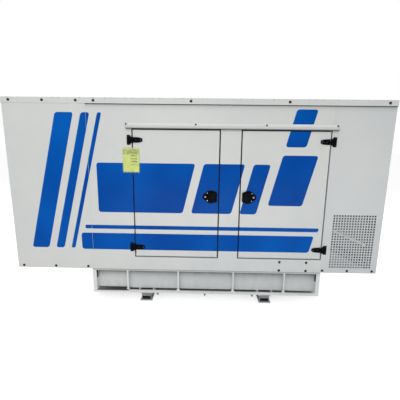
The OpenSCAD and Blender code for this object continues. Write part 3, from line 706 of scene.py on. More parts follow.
def key_cylinder(bm):
    """Bright face of a lock cylinder with its keyway cover."""
    disc(bm, 0.008, 0.0, 0.0014, 28, 0.0008)
    disc(bm, 0.0058, 0.0014, 0.0024, 24, 0.0006)
    block(bm, (-0.0012, 0.0012), (-0.0042, 0.0042), (0.0024, 0.003), 0.0004, 1)


def key_ring(bm):
    """Raised black collar round the key cylinder."""
    outer, inner, height = 0.0158, 0.0112, 0.0062
    profile = (inner, 0.0), (outer, 0.0), (outer, height - 0.0015), (outer - 0.0015, height), (inner, height)
    corners = [bm.verts.new((x, 0, z)) for x, z in profile]
    edges = [bm.edges.new((corners[i - 1], corners[i])) for i in range(len(corners))]
    bmesh.ops.spin(bm, geom=corners + edges, cent=(0, 0, 0), axis=(0, 0, 1), angle=math.tau, steps=32,
                   use_merge=True)
    bmesh.ops.remove_doubles(bm, verts=bm.verts, dist=1e-6)


def drain_stud(bm):
    """Hanging stud with its washer and nut, pointing along +Z."""
    disc(bm, 0.0136, 0.0, 0.003, 24, 0.0006)
    disc(bm, 0.0118, 0.003, 0.015, 6, 0.001)
    disc(bm, 0.007, 0.015, 0.024, 16, 0.0016)


def push_button(bm):
    """Round key of the controller on its collar."""
    disc(bm, 0.0125, 0.0, 0.003, 28, 0.001)
    disc(bm, 0.009, 0.003, 0.007, 24, 0.0015)


BOLT, SCREW, SLOTTED = map(pattern, (hexagon_bolt, small_screw, slotted_screw))


# ---- Bolts and covers of the canopy ----

BOLT_SUNK, END_BOLT_Y = 0.0041, 0.535
FOOT_BOLT_UP, TOP_BOLT_UP = 0.021, 1.461
RAIL_SCREW_DOWN, RAIL_FLANGE_T = 0.011, 0.003
COVER_T, COVER_EDGE, SCREW_IN = 0.0026, 0.0009, 0.022
COVERS = (("left", LEFT_END, -1, (-0.46, -0.012), (0.52, 1.66), 3, 6),
          ("left", LEFT_END, -1, (0.012, 0.46), (0.52, 1.66), 3, 6),
          ("right", RIGHT_END, 1, (-0.34, 0.34), (0.43, 0.68), 4, 2))


def make_roof_bolts():
    """Bolts of the roofs' lips: three on the radiator module's roof, four on the main roof."""
    bm = begin("roof_bolts", "bolt_black")
    lip_z = (ROOF_LOW.z + ROOF_Z) / 2
    for name, first, last, count in (("roof_radiator", 0.069, 0.076, 3), ("roof_main", 0.074, 0.071, 4)):
        low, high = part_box(name)
        for x in spaced(low.x + first, high.x - last, count):
            stamp(bm, BOLT, (x, low.y, lip_z), "front", x * 7)
            stamp(bm, BOLT, (x, high.y, lip_z), "back", x * 5)


def make_panel_bolts():
    """Bolts along the foot of the end panels, four through the sill into the base, and those of both ends."""
    bm = begin("panel_bolts", "bolt_black")
    panel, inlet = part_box("front_panel_radiator"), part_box("front_inlet_panel")
    feet = spaced(panel[0].x + 0.049, panel[1].x - 0.055, 3) + spaced(INLET_X + 0.024, inlet[1].x - 0.036, 3)
    for x, up in (*product(feet, (FOOT_BOLT_UP,)), *product((0.766, 1.01), (0.014, 0.094))):
        stamp_both(bm, BOLT, x, CANOPY_Z + up, 0.0, x * 9)
    heights = spaced(CANOPY_Z + FOOT_BOLT_UP, CANOPY_Z + TOP_BOLT_UP, 4)
    for z, y in product(heights, (-END_BOLT_Y, END_BOLT_Y)):
        stamp(bm, BOLT, (LEFT_END + BOLT_SUNK, y, z), "left", z)
        stamp(bm, BOLT, (RIGHT_END - BOLT_SUNK, y, z), "right", z)


def make_end_covers():
    """Screwed covers: two tall ones for cleaning the radiator, a low one for cables at the inlet's end."""
    covers, screws = begin_all(end_covers="canopy_paint", end_cover_screws="bolt_black")
    screw = pattern(disc, 0.0065, -0.001, 0.0003, 20, 0.0002)
    for facing, x, out, ys, zs, across, up in COVERS:
        block(covers, (x + out * 0.0001, x + out * COVER_T), ys, zs, COVER_EDGE)
        columns = spaced(ys[0] + SCREW_IN, ys[1] - SCREW_IN, across)
        rows = spaced(zs[0] + SCREW_IN, zs[1] - SCREW_IN, up)
        for y, z in product(columns, rows):
            if y in (columns[0], columns[-1]) or z in (rows[0], rows[-1]):
                stamp(screws, screw, (x + out * COVER_T, y, z), facing)


def make_rail_screws():
    """Large screws through the flange of each rain rail."""
    bm, screw = begin("rail_screws", "bolt_black"), pattern(small_screw, 0.0078)
    for x in (-0.6, -0.009, 0.587, 1.179):
        stamp_both(bm, screw, x, RAIL_HIGH.z - RAIL_SCREW_DOWN, RAIL_FLANGE_T)


# ---- Fittings on doors and base ----

LOCK_PLATE_T, KEY_IN = 0.006, 0.023
STRAP_FACE, STRAP_HALF = 0.008, 0.0235
STRAP_ROOT, STRAP_TIP = 0.034, 0.074
HINGE_BASE_FACE, BASE_SCREW_UP = 0.007, 0.03
PADDLE_CORNER, PADDLE_EDGE, PADDLE_PIN_IN = 0.016, 0.0026, 0.006
DISH_RIM, DISH_SLOPE, DISH_DEPTH = 0.007, 0.003, 0.003
RIB_T, RIB_STEP = 0.014, 0.485
GUSSET_REACH, GUSSET_RISE, GUSSET_T = 0.014, 0.02, 0.006


def from_side(low, high, hand, inward):
    """X this far inside the left edge of a box for hand 1, or its right edge for hand -1."""
    return (low if hand == 1 else high).x + hand * inward


def make_lock_fittings():
    """Key cylinder, collar and two screws of each lock, on both doors and on the back."""
    cylinder_mesh, collar = pattern(key_cylinder), pattern(key_ring)
    faces = ("front", FRONT, -1), ("back", BACK, 1)
    for (side, hand), (facing, wall, out) in product(HANDS.items(), faces):
        low, high = LOCKS[side]
        key = Vector((from_side(low, high, hand, KEY_IN), wall + out * LOCK_PLATE_T, (low.z + high.z) / 2))
        body = side + "_door" if facing == "front" else "set"
        name = f"{body}_{facing}_lock_{'a' if hand == 1 else 'b'}_"
        outer = key + Vector((0, out * 0.0052, 0))
        stamp(begin(name + "cylinder", "key_brass", body), cylinder_mesh, outer, facing)
        stamp(begin(name + "collar", "black_casting", body), collar, key, facing)
        screws = begin(name + "screws", "bright_metal", body)
        for z in (-0.033, 0.033):
            stamp(screws, SLOTTED, key + Vector((0.019 * hand, 0, z)), facing, 0.6 + z * 20)


def front_face(bm, y):
    """The largest face at this depth."""
    return max((f for f in bm.faces if all(v.co.y < y + 1e-5 for v in f.verts)), key=lambda f: f.calc_area())


def dished_plate(bm, low, high, near, far):
    """Round-cornered plate between two X values, its front face sunk inside a raised rim."""
    corners = (near, low.z), (far, low.z), (far, high.z), (near, high.z)
    bm.faces.new([bm.verts.new((x, high.y, z)) for x, z in corners])
    round_off(bm, bm.verts, PADDLE_CORNER, 6, "VERTICES")
    push(bm, bm.faces, (0, low.y - high.y, 0))
    bmesh.ops.recalc_face_normals(bm, faces=bm.faces)
    round_off(bm, front_face(bm, low.y).edges, PADDLE_EDGE)
    face = front_face(bm, low.y)
    bmesh.ops.inset_region(bm, faces=[face], thickness=DISH_RIM)
    bmesh.ops.inset_region(bm, faces=[face], thickness=DISH_SLOPE)
    bmesh.ops.translate(bm, vec=(0, DISH_DEPTH, 0), verts=list(face.verts))


def make_paddles():
    """Pull paddle of each lock: a dished, ribbed plate and its two pin barrels."""
    for door, hand in HANDS.items():
        low, high = PADDLES[door]
        pin_x, middle_z = from_side(low, high, hand, PADDLE_PIN_IN), (low.z + high.z) / 2
        far = from_side(low, high, -hand, 0.0)
        bm = bmesh.new()
        dished_plate(bm, low, high, pin_x, far)
        for step in range(-2, 3):
            block(bm, (pin_x + 0.018 * hand, far - 0.018 * hand), span(low.y, 0.0008, 0.0035),
                  span(middle_z + step * 0.0085, 0.0012), 0.0005, 1)
        for side in SIDES:
            place = Matrix.Translation((pin_x, (low.y + high.y) / 2, middle_z + side * 0.026))
            cylinder(bm, 0.0056, 0.026, place, 20)
        cover = piece(door + "_paddle_cover", bm, "black_casting", door + "_paddle")
        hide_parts(f"door_{door}_paddle")


def make_hinge_fittings():
    """Screws of the straps, the outer one left bright, and black screws of the base plates."""
    tips, roots = ({body: begin(f"{body}_strap_{end}_screws", material, body)
                    for body in ("left_door", "right_door", "set")}
                   for end, material in (("tip", "screw_steel"), ("root", "bolt_black")))
    for door, hand in HANDS.items():
        low, high = HINGES[door]
        pin_x = from_side(low, high, hand, 0.01)
        for z in (low.z + STRAP_HALF, high.z - STRAP_HALF):
            for screws, along in ((roots, STRAP_ROOT), (tips, STRAP_TIP)):
                x = pin_x + along * hand
                stamp(screws[door + "_door"], SLOTTED, (x, FRONT - STRAP_FACE, z), "front", along * 30)
                stamp(screws["set"], SLOTTED, (x, BACK + STRAP_FACE, z), "back", along * 30)
            for up in (-BASE_SCREW_UP, BASE_SCREW_UP):
                stamp_both(roots["set"], SLOTTED, pin_x - STRAP_ROOT * hand, z + up, HINGE_BASE_FACE, up * 30)


def make_base_fittings():
    """Small triangular feet where each upright rib meets the lip bar, and studs under the bar."""
    gussets, studs = begin("rib_gussets", "frame_paint", smooth=False), begin("base_studs", "dull_zinc")
    low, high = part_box("base_ribs")
    first, last, stud = low.x + RIB_T / 2, high.x - RIB_T / 2, pattern(drain_stud)
    for inward, edge in ((1, BASE_LOW.y), (-1, BASE_HIGH.y)):
        y = edge + inward * 0.002
        for x, side in product((first, first + RIB_STEP, last - RIB_STEP, last), SIDES):
            root = x + side * RIB_T / 2
            outline = (root, y, low.z), (root + side * GUSSET_REACH, y, low.z), (root, y, low.z + GUSSET_RISE)
            prism(gussets, outline, (0, inward * GUSSET_T, 0))
        for x in (-0.368, 0.089, 0.545):
            stamp(studs, stud, (x, edge + inward * 0.0115, BASE_LOW.z), "down", x)


# ---- Sound foam ----

PLENUM_WALL_Y, PLENUM_FOAM_T = 0.315, 0.022
WEDGE_NEAR, WEDGE_FAR = (1.152, 0.65), (1.602, 0.408)
FELT_T = 0.004
FELT_LINE, BLACK_LINE = (0.040, 0.033), (0.019, 0.013)


def wedge(bm, ys, lower, upper):
    """Slab along a wedge's slope, from and to these distances under it at the near and far ends."""
    start, end = sorted(ys)
    ends = (WEDGE_NEAR, lower[0]), (WEDGE_NEAR, upper[0]), (WEDGE_FAR, upper[1]), (WEDGE_FAR, lower[1])
    prism(bm, [(x, start, z - under) for (x, z), under in ends], (0, end - start, 0))


def make_inlet_foam():
    """Foam round both plenums: walls and end panel, and felt on each wedge's face; black strips above each
    wedge's slope and across its face are painted shade of the dark gaps there.
    """
    walls, strips, felts = begin_all(inlet_foam="plenum_foam", wedge_foam="black_foam",
                                     wedge_felt="grey_felt", smooth=False)
    low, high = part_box("inlet_baffle")
    end_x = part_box("end_panel_right")[0].x
    inner_y = PLENUM_WALL_Y + PLENUM_FOAM_T
    for side in SIDES:
        ys = side * PLENUM_WALL_Y, side * inner_y
        block(walls, (low.x + 0.001, high.x - 0.001), ys, (low.z + 0.002, high.z - 0.002), 0.003)
        ys = side * (inner_y + 0.001), side * (high.y - 0.004)
        block(walls, (end_x - PLENUM_FOAM_T, end_x - 0.0003), ys, (low.z + 0.06, high.z - 0.03), 0.003)
        # Black strip above the wedge's slope: painted shade of the gap along it.
        wedge(strips, ys, (-0.003, -0.003), (-0.026, -0.026))
        ys = side * high.y, side * (high.y + FELT_T)
        wedge(felts, ys, [z - low.z - 0.004 for _, z in (WEDGE_NEAR, WEDGE_FAR)], FELT_LINE)
        # Black strip across the wedge's face: painted shade of the dark line under the splitter.
        wedge(strips, ys, FELT_LINE, BLACK_LINE)
        wedge(walls, ys, BLACK_LINE, (-0.002, -0.002))


# ---- Rubber and trims ----

SEAT_Y, SEAL_SHOWS = FRONT + 0.038, 0.005
SLOT_Y, SLOT_Z = 0.476, 0.273
TRIM_STRIPS = (((-0.016, -0.011), (-0.046, 0.036)), ((0.011, 0.016), (-0.046, 0.036)),
               ((-0.011, 0.011), (0.0332, 0.036)), ((-0.011, 0.011), (-0.046, -0.0332)))


def rim(bm, low, high, out, wide, ys):
    """Upright frame of four strips, whose outer edge lies this far outside two corners."""
    x0, x1, z0, z1 = low.x - out, high.x + out, low.z - out, high.z + out
    inner = (x0 + wide, x1 - wide)
    for xs, zs in (((x0, x0 + wide), (z0, z1)), ((x1 - wide, x1), (z0, z1)), (inner, (z0, z0 + wide)),
                   (inner, (z1 - wide, z1))):
        block(bm, xs, ys, zs, 0.0005, 1)


def make_door_rubbers():
    """Thin black lips over the seats of both openings, and rubber seals round both back doors."""
    lips, seals = begin_all(gap_lips="lip_rubber", back_door_seals="seal_rubber", smooth=False)
    for low, high in DOORS.values():
        rim(lips, low, high, 0.0115, SEAL_SHOWS, (SEAT_Y - 0.002, SEAT_Y - 0.0001))
    for low, high in map(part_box, ("back_door_left", "back_door_right")):
        rim(seals, low, high, 0.03, 0.0178, (low.y - 0.007, high.y - 0.0032))
        rim(seals, low, high, 0.0122, 0.018, (low.y - 0.007, low.y - 0.0005))


def make_roof_seals():
    """Black rubber under the main roof's lip, which also stands for the shadow in the gap under it, painted
    shade; and filler in the colour of the paint in the module's seams.
    """
    seals, fillers = begin_all(roof_seals="seal_rubber", seam_fillers="canopy_paint", smooth=False)
    for side in SIDES:
        block(seals, (SEAM_X + 0.002, RIGHT_END), (side * (ROOF_HIGH.y - 0.0005), side * (BACK + 0.0003)),
              (LIP_Z, ROOF_LOW.z - 0.0002), 0.001)
        block(fillers, span(SEAM_X, 0.0009), (side * (BACK - 0.0008), side * (BACK - 0.0026)),
              (CANOPY_Z + 0.002, ROOF_LOW.z - 0.006))


def make_trims():
    """Black edging of the lashing slots, partly painted shade that widens their dark, folded edges inside the
    runners, and grey strips of painted shade under the rain rails' hems.
    """
    slots, lips = begin_all(slot_trims="seal_rubber", runner_lips="foot_paint", smooth=False)
    hems = begin("rail_hem_shade_strips", "hem_rubber")
    # Black edging round each lashing slot, partly painted shade that makes the slot read wider and darker.
    for name, inward in (("base_end_left", 1), ("base_end_right", -1)):
        xs = span(from_side(*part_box(name), -inward, 0.0), inward * 0.0002, inward * 0.003)
        for side, (ys, zs) in product(SIDES, TRIM_STRIPS):
            block(slots, xs, span(side * SLOT_Y, *ys), span(SLOT_Z, *zs), 0.0008)
    for (low, high), side in product(map(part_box, ("runner_left", "runner_right")), SIDES):
        block(lips, span((low.x + high.x) / 2, 0.0398),
              (side * (RUNNER_STOP_Y + 0.0004), side * (RUNNER_STOP_Y - 0.005)), (0.037, 0.0458), 0.001)
    # Grey strips under each rail's hem stand for its shadow line: painted shade.
    for name, side in (("rain_rail_front", -1), ("rain_rail_back", 1)):
        low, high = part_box(name)
        edge_y = low.y if side == -1 else high.y
        block(hems, (low.x + 0.001, high.x - 0.001), (edge_y - side * 0.0002, edge_y - side * 0.0055),
              (low.z - 0.004, low.z - 0.0002), 0.0012)


# ---- Engine, dressed on its packed block, head, sump and bell housing ----

SHAFT_Z, HEAD_TOP, BLOCK_SIDE = 0.794, 1.194, 0.17
ENGINE_X, BELL_X = (-0.96, -0.24), (-0.2, -0.12)
BELL_RING = 0.265
PUMP_X = -0.575
AIR_CLEANER, SILENCER = (-0.16, 1.42), (0.2, 1.52)


def ring_of(bm, mesh, x, radius, count, facing):
    """Stamps a pattern round the shaft line: facing along it, or up to face outwards."""
    for i in range(count):
        about = Matrix.Translation((0, 0, SHAFT_Z)) @ Matrix.Rotation(math.tau * (i + 0.5) / count, 4, "X")
        stamp(bm, mesh, (x, 0, radius), facing, about=about)


def make_rocker_cover():
    """Rocker cover with its ribs and bolts, and the winged cap of the oil filler."""
    bm, cap = begin_all(rocker_cover="engine_paint", oil_filler_cap="machine_black")
    low, high = ENGINE_X
    block(bm, (low + 0.01, high - 0.01), (-0.1, 0.1), span(HEAD_TOP, -0.002, 0.01), 0.003)
    block(bm, (low + 0.02, high - 0.02), (-0.088, 0.088), span(HEAD_TOP, 0, 0.05), 0.016, 4)
    for i, x in enumerate(spaced(low + 0.06, high - 0.06, 6)):
        block(bm, span(x, 0.004), (-0.07, 0.07), span(HEAD_TOP, 0.045, 0.054), 0.002)
        stamp(bm, BOLT, (x + 0.03, 0, HEAD_TOP + 0.05), "up", i)
    bars(cap, "Z", (high - 0.09, 0.03), (HEAD_TOP + 0.048, HEAD_TOP + 0.078, 0.03, 0.004))
    grip = pattern(block, (-0.033, 0.033), (-0.005, 0.005), (0.0, 0.026), 0.002, 1)
    for i in range(3):
        stamp(cap, grip, (high - 0.09, 0.03, HEAD_TOP + 0.05), "up", math.tau * i / 6)


def make_block_castings():
    """Ribs, water rail, tappet cover and sump flange on both sides of the block, with bolts and plugs."""
    bm, plugs = begin_all(block_castings="engine_paint", core_plugs="dull_zinc")
    low, high = ENGINE_X
    plug = pattern(disc, 0.024, 0.0, 0.005, 24, 0.002)
    block(bm, (low - 0.02, high + 0.02), (-0.16, 0.16), (0.622, 0.636), 0.002)
    columns = spaced(low + 0.015, high - 0.015, 7)
    slabs = [(ENGINE_X, 0.014, (1.026, 1.062), 0.005), (ENGINE_X, 0.008, (0.652, 0.668), 0.003),
             (ENGINE_X, 0.006, (0.842, 0.852), 0.003)]
    slabs += [(span(x, 0.007), 0.011, (0.66, 0.845), 0.004) for x in columns]
    for side, facing in ((-1, "front"), (1, "back")):
        for xs, depth, zs, edge in slabs:
            block(bm, xs, (side * (BLOCK_SIDE - 0.004), side * (BLOCK_SIDE + depth)), zs, edge)
        for i, x in enumerate(columns):
            stamp(bm, BOLT, (x, side * 0.151, 0.622), "down", i)
        for i, x in enumerate(columns[:-1]):
            stamp(plugs, plug, (x + 0.057, side * BLOCK_SIDE, 0.9), facing)
            stamp(bm, BOLT, (x + 0.057, side * (BLOCK_SIDE + 0.014), 1.044), facing, i)
            stamp(bm, BOLT, (x + 0.057, side * 0.115, HEAD_TOP - 0.03), facing, i)


def make_injection_pump():
    """In-line injection pump with its governor, feed plunger, delivery holders and pipes to the head."""
    bm, holders, pipes = begin_all(injection_pump="dull_zinc", delivery_holders="bright_metal",
                                   injector_pipes="dull_zinc")
    for xs, ys, zs, *edge in (((0, 0.235), (-0.262, -0.19), (0.872, 0.985), 0.008),
                              ((0.01, 0.225), (-0.27, -0.166), (0.845, 0.88), 0.006),
                              ((0.225, 0.29), (-0.268, -0.172), (0.838, 0.97), 0.02, 4)):
        block(bm, span(PUMP_X, *xs), ys, zs, *edge)
    bars(bm, "X", (-0.215, 0.905), (*span(PUMP_X, -0.05, 0.02), 0.058, 0.006))
    bars(bm, "Y", (PUMP_X + 0.09, 0.862), (-0.3, -0.25, 0.021, 0.004))
    bars(bm, "Z", (PUMP_X + 0.09, -0.276), (0.86, 0.925, 0.011, 0.003))
    for i in range(4):
        stamp(bm, BOLT, (PUMP_X + 0.04 + i * 0.05, -0.262, 0.955), "front", i)
    for i, end_x in enumerate(spaced(ENGINE_X[0] + 0.06, ENGINE_X[1] - 0.06, 6)):
        x, level = PUMP_X + 0.025 + i * 0.036, 1.075 + 0.012 * abs(i - 2.5)
        bars(holders, "Z", (x, -0.226), (0.98, 1.012, 0.011, 0.002, 6), (1.01, 1.03, 0.008, 0.002, 6))
        bars(holders, "Y", (end_x, 1.165), (-0.145, -0.112, 0.0105, 0.002, 6))
        pipe(pipes, [(x, -0.226, 1.02), (x, -0.226, level), (end_x, -0.2, level + 0.02),
                     (end_x, -0.16, 1.165), (end_x, -0.108, 1.165)], 0.0036, 0.018, 2)


def make_filters():
    """Two fuel filters under one head and a lower oil filter, each with a crimped rim and a ribbed end."""
    cans, heads = begin_all(filter_cans="filter_paint", filter_heads="dull_zinc")
    block(heads, (-0.318, -0.122), (-0.262, -0.118), (1.085, 1.118), 0.008, 3)
    block(heads, (-0.575, -0.455), (-0.275, -0.166), (0.775, 0.82), 0.01, 3)
    for x in (-0.268, -0.172):
        bars(heads, "Z", (x, -0.21), (1.116, 1.136, 0.012, 0.002, 6))
    for x, y, top, low, radius in ((-0.268, -0.21, 1.087, 0.945, 0.042), (-0.172, -0.21, 1.087, 0.945, 0.042),
                                   (-0.515, -0.224, 0.778, 0.612, 0.048)):
        bars(cans, "Z", (x, y), (low, top, radius, 0.008), (top - 0.014, top - 0.003, radius + 0.002, 0.002))
        for i in range(12):
            angle = math.tau * i / 12
            spot = x + math.cos(angle) * radius * 0.98, y + math.sin(angle) * radius * 0.98
            bars(cans, "Z", spot, (low + 0.006, low + 0.034, 0.003, 0.001, 8))


def make_starter():
    """Starter motor beside the bell housing, with its solenoid, end cap, through bolts and studs."""
    bm, ends = begin_all(starter_motor="machine_black", starter_ends="dull_zinc")
    y, z = -0.228, 0.7
    solenoid_y, solenoid_z = y - 0.03, z + 0.078
    bars(bm, "X", (y, z), (-0.4, -0.25, 0.052, 0.003))
    bars(bm, "X", (solenoid_y, solenoid_z), (-0.385, -0.275, 0.03, 0.003))
    bars(ends, "X", (y, z), (-0.425, -0.398, 0.048, 0.009),
         (-0.252, BELL_X[0] + 0.004, 0.05, 0.006, 28, 0.06))
    rod(ends, (-0.277, solenoid_y, solenoid_z), (-0.25, y - 0.02, z + 0.06), 0.026, 0.004)
    bars(ends, "X", (solenoid_y, solenoid_z), (-0.402, -0.384, 0.022, 0.003))
    for side in SIDES:
        bars(ends, "X", (y + side * 0.03, z), (-0.43, -0.424, 0.006, 0.001, 6))
        bars(ends, "X", (solenoid_y + side * 0.011, solenoid_z), (-0.418, -0.4, 0.004, 0.001, 12))
        stamp(ends, BOLT, (BELL_X[0], y, z + side * 0.07), "left", side)


def make_bell_fittings():
    """Bolts round both rims of the bell housing, and its two flanges."""
    bm, rings = begin_all(bell_bolts="bolt_black", bell_flanges="engine_paint")
    ring_of(bm, BOLT, BELL_X[0], BELL_RING, 14, "left")
    ring_of(bm, BOLT, BELL_X[1], BELL_RING, 14, "right")
    bars(rings, "X", (0, SHAFT_Z), *((*span(x, 0, 0.012), 0.2835, 0.003, 64)
                                    for x in (BELL_X[0] + 0.004, BELL_X[1] - 0.016)))


def make_air_cleaner():
    """Air cleaner on a bracket over the engine, its clips and end cap, and a duct across to the far side."""
    y, z = AIR_CLEANER
    body, trim, duct = begin_all(air_cleaner="machine_black", air_cleaner_trim="dull_zinc",
                                 intake_duct="duct_rubber")
    bars(body, "X", AIR_CLEANER, (-0.5, -0.1, 0.112, 0.01, 48), (-0.1, -0.062, 0.105, 0.014, 48, 0.085),
         (-0.56, -0.495, 0.046, 0.0, 32, 0.1), *((*span(x, 0, 0.008), 0.1155, 0.002, 48)
                                               for x in spaced(-0.46, -0.16, 7)))
    for x in (-0.13, -0.42):
        bars(trim, "X", AIR_CLEANER, (x, x + 0.018, 0.1175, 0.001, 48))
        block(trim, span(x, -0.002, 0.02), span(y, 0.06, 0.066), (HEAD_TOP + 0.03, z - 0.085), 0.001, 1)
        block(trim, span(x, -0.002, 0.02), span(y, 0.06, 0.13), span(HEAD_TOP, 0.048, 0.054), 0.001, 1)
    for i in range(4):
        angle = math.tau * (i + 0.5) / 4
        block(trim, (-0.116, -0.076), span(y + math.cos(angle) * 0.114, 0.008),
              span(z + math.sin(angle) * 0.114, 0.008), 0.004)
    pipe(duct, [(-0.55, y, z), (-0.66, y, z), (-0.7, 0.1, 1.36), (-0.7, 0.19, 1.05)], 0.044, 0.075, 8)
    bars(trim, "X", AIR_CLEANER, (-0.575, -0.562, 0.0475, 0.001, 32))
    rod(trim, (-0.7, 0.19, 1.075), (-0.7, 0.187, 1.088), 0.0475, 0.001, 32)


def make_exhaust():
    """Silencer hung under the roof, with its bands and hangers, the pipe to it and the tail pipe."""
    y, z = SILENCER
    roof = ROOF_Z - 0.004
    bm, bands = begin_all(silencer="exhaust_steel", silencer_bands="dull_zinc")
    bars(bm, "X", SILENCER, (-0.92, -0.26, 0.105, 0.018, 48))
    pipe(bm, [(-0.36, 0.19, 1.05), (-0.36, 0.19, 1.3), (-0.36, y, z - 0.08)], 0.038, 0.06, 8)
    pipe(bm, [(-0.91, y, z), (-1.14, y, z), (-1.14, y, roof - 0.03)], 0.038, 0.09, 8)
    bars(bm, "Z", (-0.36, 0.19), (1.06, 1.078, 0.062, 0.002))
    for x in (-0.84, -0.36):
        bars(bands, "X", SILENCER, (*span(x, 0.015), 0.1085, 0.001, 48))
        block(bands, span(x, 0.015), span(y, 0.003), (z + 0.1, roof), 0.001, 1)
        stamp(bands, BOLT, (x, y - 0.003, z + 0.14))


# ---- Alternator ----

BODY_RADIUS, BODY_X, CAP_X = 0.25, (-0.12, 0.47), 0.52
BOX_LOW, BOX_HIGH = Vector((0.0, -0.19, 0.974)), Vector((0.34, 0.19, 1.214))


def make_alternator_bands():
    """Frame rings, cooling ribs, air slots near the end and a bolted end shield."""
    bm, slots = begin_all(alternator_bands="engine_paint", alternator_slots="machine_black")
    shaft = 0, SHAFT_Z
    for x, wide in ((BODY_X[0] + 0.002, 0.016), (0.02, 0.01), (0.3, 0.01), (BODY_X[1] - 0.02, 0.018)):
        bars(bm, "X", shaft, (x, x + wide, BODY_RADIUS + 0.007, 0.002, 64))
    rib = pattern(block, (0.036, 0.296), (-0.003, 0.003), (-0.004, 0.009), 0.002, 1)
    ring_of(bm, rib, 0.0, BODY_RADIUS, 40, "up")
    bars(bm, "X", shaft, (*span(CAP_X, -0.002, 0.022), 0.075, 0.004, 40))
    ring_of(bm, BOLT, CAP_X, 0.192, 8, "right")
    ring_of(bm, BOLT, CAP_X + 0.022, 0.055, 6, "right")
    for xs, x, radius, count, facing in (((0.33, 0.425), 0.0, BODY_RADIUS, 32, "up"),
                                         ((-0.03, 0.03), CAP_X, 0.13, 16, "right")):
        slot = pattern(block, xs, (-0.008, 0.008), (-0.002, 0.0012), 0.0008, 1)
        ring_of(slots, slot, x, radius, count, facing)


def make_terminal_box():
    """Cover plates of the terminal box, and conduit to the control cabinet with its glands."""
    bm, tube, nuts = begin_all(terminal_box_covers="engine_paint", power_conduits="duct_rubber",
                               conduit_nuts="dull_zinc")
    low, high = BOX_LOW, BOX_HIGH
    block(bm, (low.x + 0.008, high.x - 0.008), span(low.y, -0.005, 0.002), (low.z + 0.02, high.z - 0.01),
          0.003)
    block(bm, (low.x - 0.006, high.x + 0.006), (low.y - 0.006, high.y + 0.006), span(high.z, -0.002, 0.006),
          0.003)
    for i, x in enumerate(spaced(low.x + 0.03, high.x - 0.03, 4)):
        for z in (low.z + 0.038, high.z - 0.028):
            stamp(bm, BOLT, (x, low.y - 0.005, z), "front", i)
        for y in (low.y + 0.02, high.y - 0.02):
            stamp(bm, BOLT, (x, y, high.z + 0.006), "up", i)
    for y, z, end_y, end_z in ((-0.12, 1.12, -0.28, 1.2), (-0.06, 1.12, -0.22, 1.2)):
        pipe(tube, [(high.x, y, z), (high.x + 0.12, y, z), (CABINET_LOW.x - 0.1, end_y, end_z),
                    (CABINET_LOW.x, end_y, end_z)], 0.019, 0.05, 6)
        bars(nuts, "X", (y, z), (*span(high.x, -0.003, 0.022), 0.027, 0.003, 6))
        bars(nuts, "X", (end_y, end_z), (*span(CABINET_LOW.x, 0.003, -0.022), 0.027, 0.003, 6))


# ---- Control cabinet and battery ----

CABINET_FOOT, PLATE_T, STOP_Z = 0.924, 0.008, 1.265
BATTERY_LOW, BATTERY_HIGH = Vector((0.735, -0.43, 0.384)), Vector((0.975, -0.255, 0.575))


def make_cabinet_door():
    """Hung front plate of the cabinet with its controller, breaker handle, locks and hinges."""
    left, right, front = CABINET_LOW.x, CABINET_HIGH.x, CABINET_LOW.y
    face, middle = front - PLATE_T, (left + right) / 2
    plate, black, metal = begin_all(cabinet_door="inner_paint", controller_case="machine_black",
                                    cabinet_fittings="dull_zinc")
    block(plate, (left + 0.014, right - 0.014), (face, front + 0.001),
          (CABINET_FOOT + 0.014, CABINET_HIGH.z - 0.014), 0.003)
    for half_x, ys, zs, edge, segments in ((0.1, (-0.009, 0.001), (1.35, 1.49), 0.005, 3),
                                           (0.085, (-0.008, 0.001), (1.03, 1.17), 0.005, 3),
                                           (0.013, (-0.019, -0.005), (1.085, 1.13), 0.004, 2)):
        block(black, span(middle, half_x), span(face, *ys), zs, edge, segments)
    button = pattern(push_button)
    for x in spaced(middle - 0.072, middle + 0.072, 5):
        stamp(black, button, (x, face - 0.009, 1.373))
    for z in (CABINET_FOOT + 0.1, CABINET_HIGH.z - 0.1):
        bars(black, "Z", (left + 0.011, face), (*span(z, 0.03), 0.0065, 0.001, 20))
        bars(metal, "Y", (right - 0.034, z), (*span(face, 0.001, -0.006), 0.012, 0.002))
        block(metal, (right - 0.036, right - 0.032), span(face, -0.0085, -0.005), span(z, 0.007), 0.001, 1)
    for x, z in (*product((-0.09, 0.09), (1.36, 1.48)), *product((-0.075, 0.075), (1.04, 1.16))):
        stamp(metal, SCREW, (middle + x, face - 0.008, z))
    bars(metal, "Y", (middle - 0.09, STOP_Z), (*span(face, 0.001, -0.008), 0.014, 0.002))
    block(begin("controller_display", "display_glass"), span(middle, 0.055), span(face, -0.0105, -0.008),
          (1.398, 1.468), 0.001, 1)
    make_stop_button(face, middle)


def make_stop_button(face, middle):
    """Red stop button on its yellow plate, and two green lamps beside it."""
    red, green = begin_all(stop_button="stop_red", running_lamps="lamp_green")
    bars(begin("stop_button_plate", "stop_yellow"), "Y", (middle, STOP_Z),
         (*span(face, 0.001, -0.003), 0.032, 0.001, 40))
    bars(red, "Y", (middle, STOP_Z), (*span(face, -0.002, -0.01), 0.012),
         (*span(face, -0.009, -0.02), 0.02, 0.004, 36))
    for x in (0.07, 0.11):
        bars(green, "Y", (middle + x, STOP_Z), (*span(face, 0.001, -0.007), 0.011, 0.003))


def make_cabinet_conduits():
    """Conduits from the cabinet's foot down to the floor, with their gland nuts."""
    tube, nuts = begin_all(cabinet_conduits="duct_rubber", cabinet_gland_nuts="dull_zinc")
    for x in (0.72, 0.77, 0.98):
        pipe(tube, [(x, -0.24, CABINET_FOOT + 0.002), (x, -0.24, 0.7), (x - 0.02, -0.2, 0.6),
                    (x - 0.02, -0.2, FLOOR_Z + 0.006)], 0.0125, 0.03, 4)
        bars(nuts, "Z", (x, -0.24), (*span(CABINET_FOOT, 0, -0.022), 0.019, 0.003, 6))


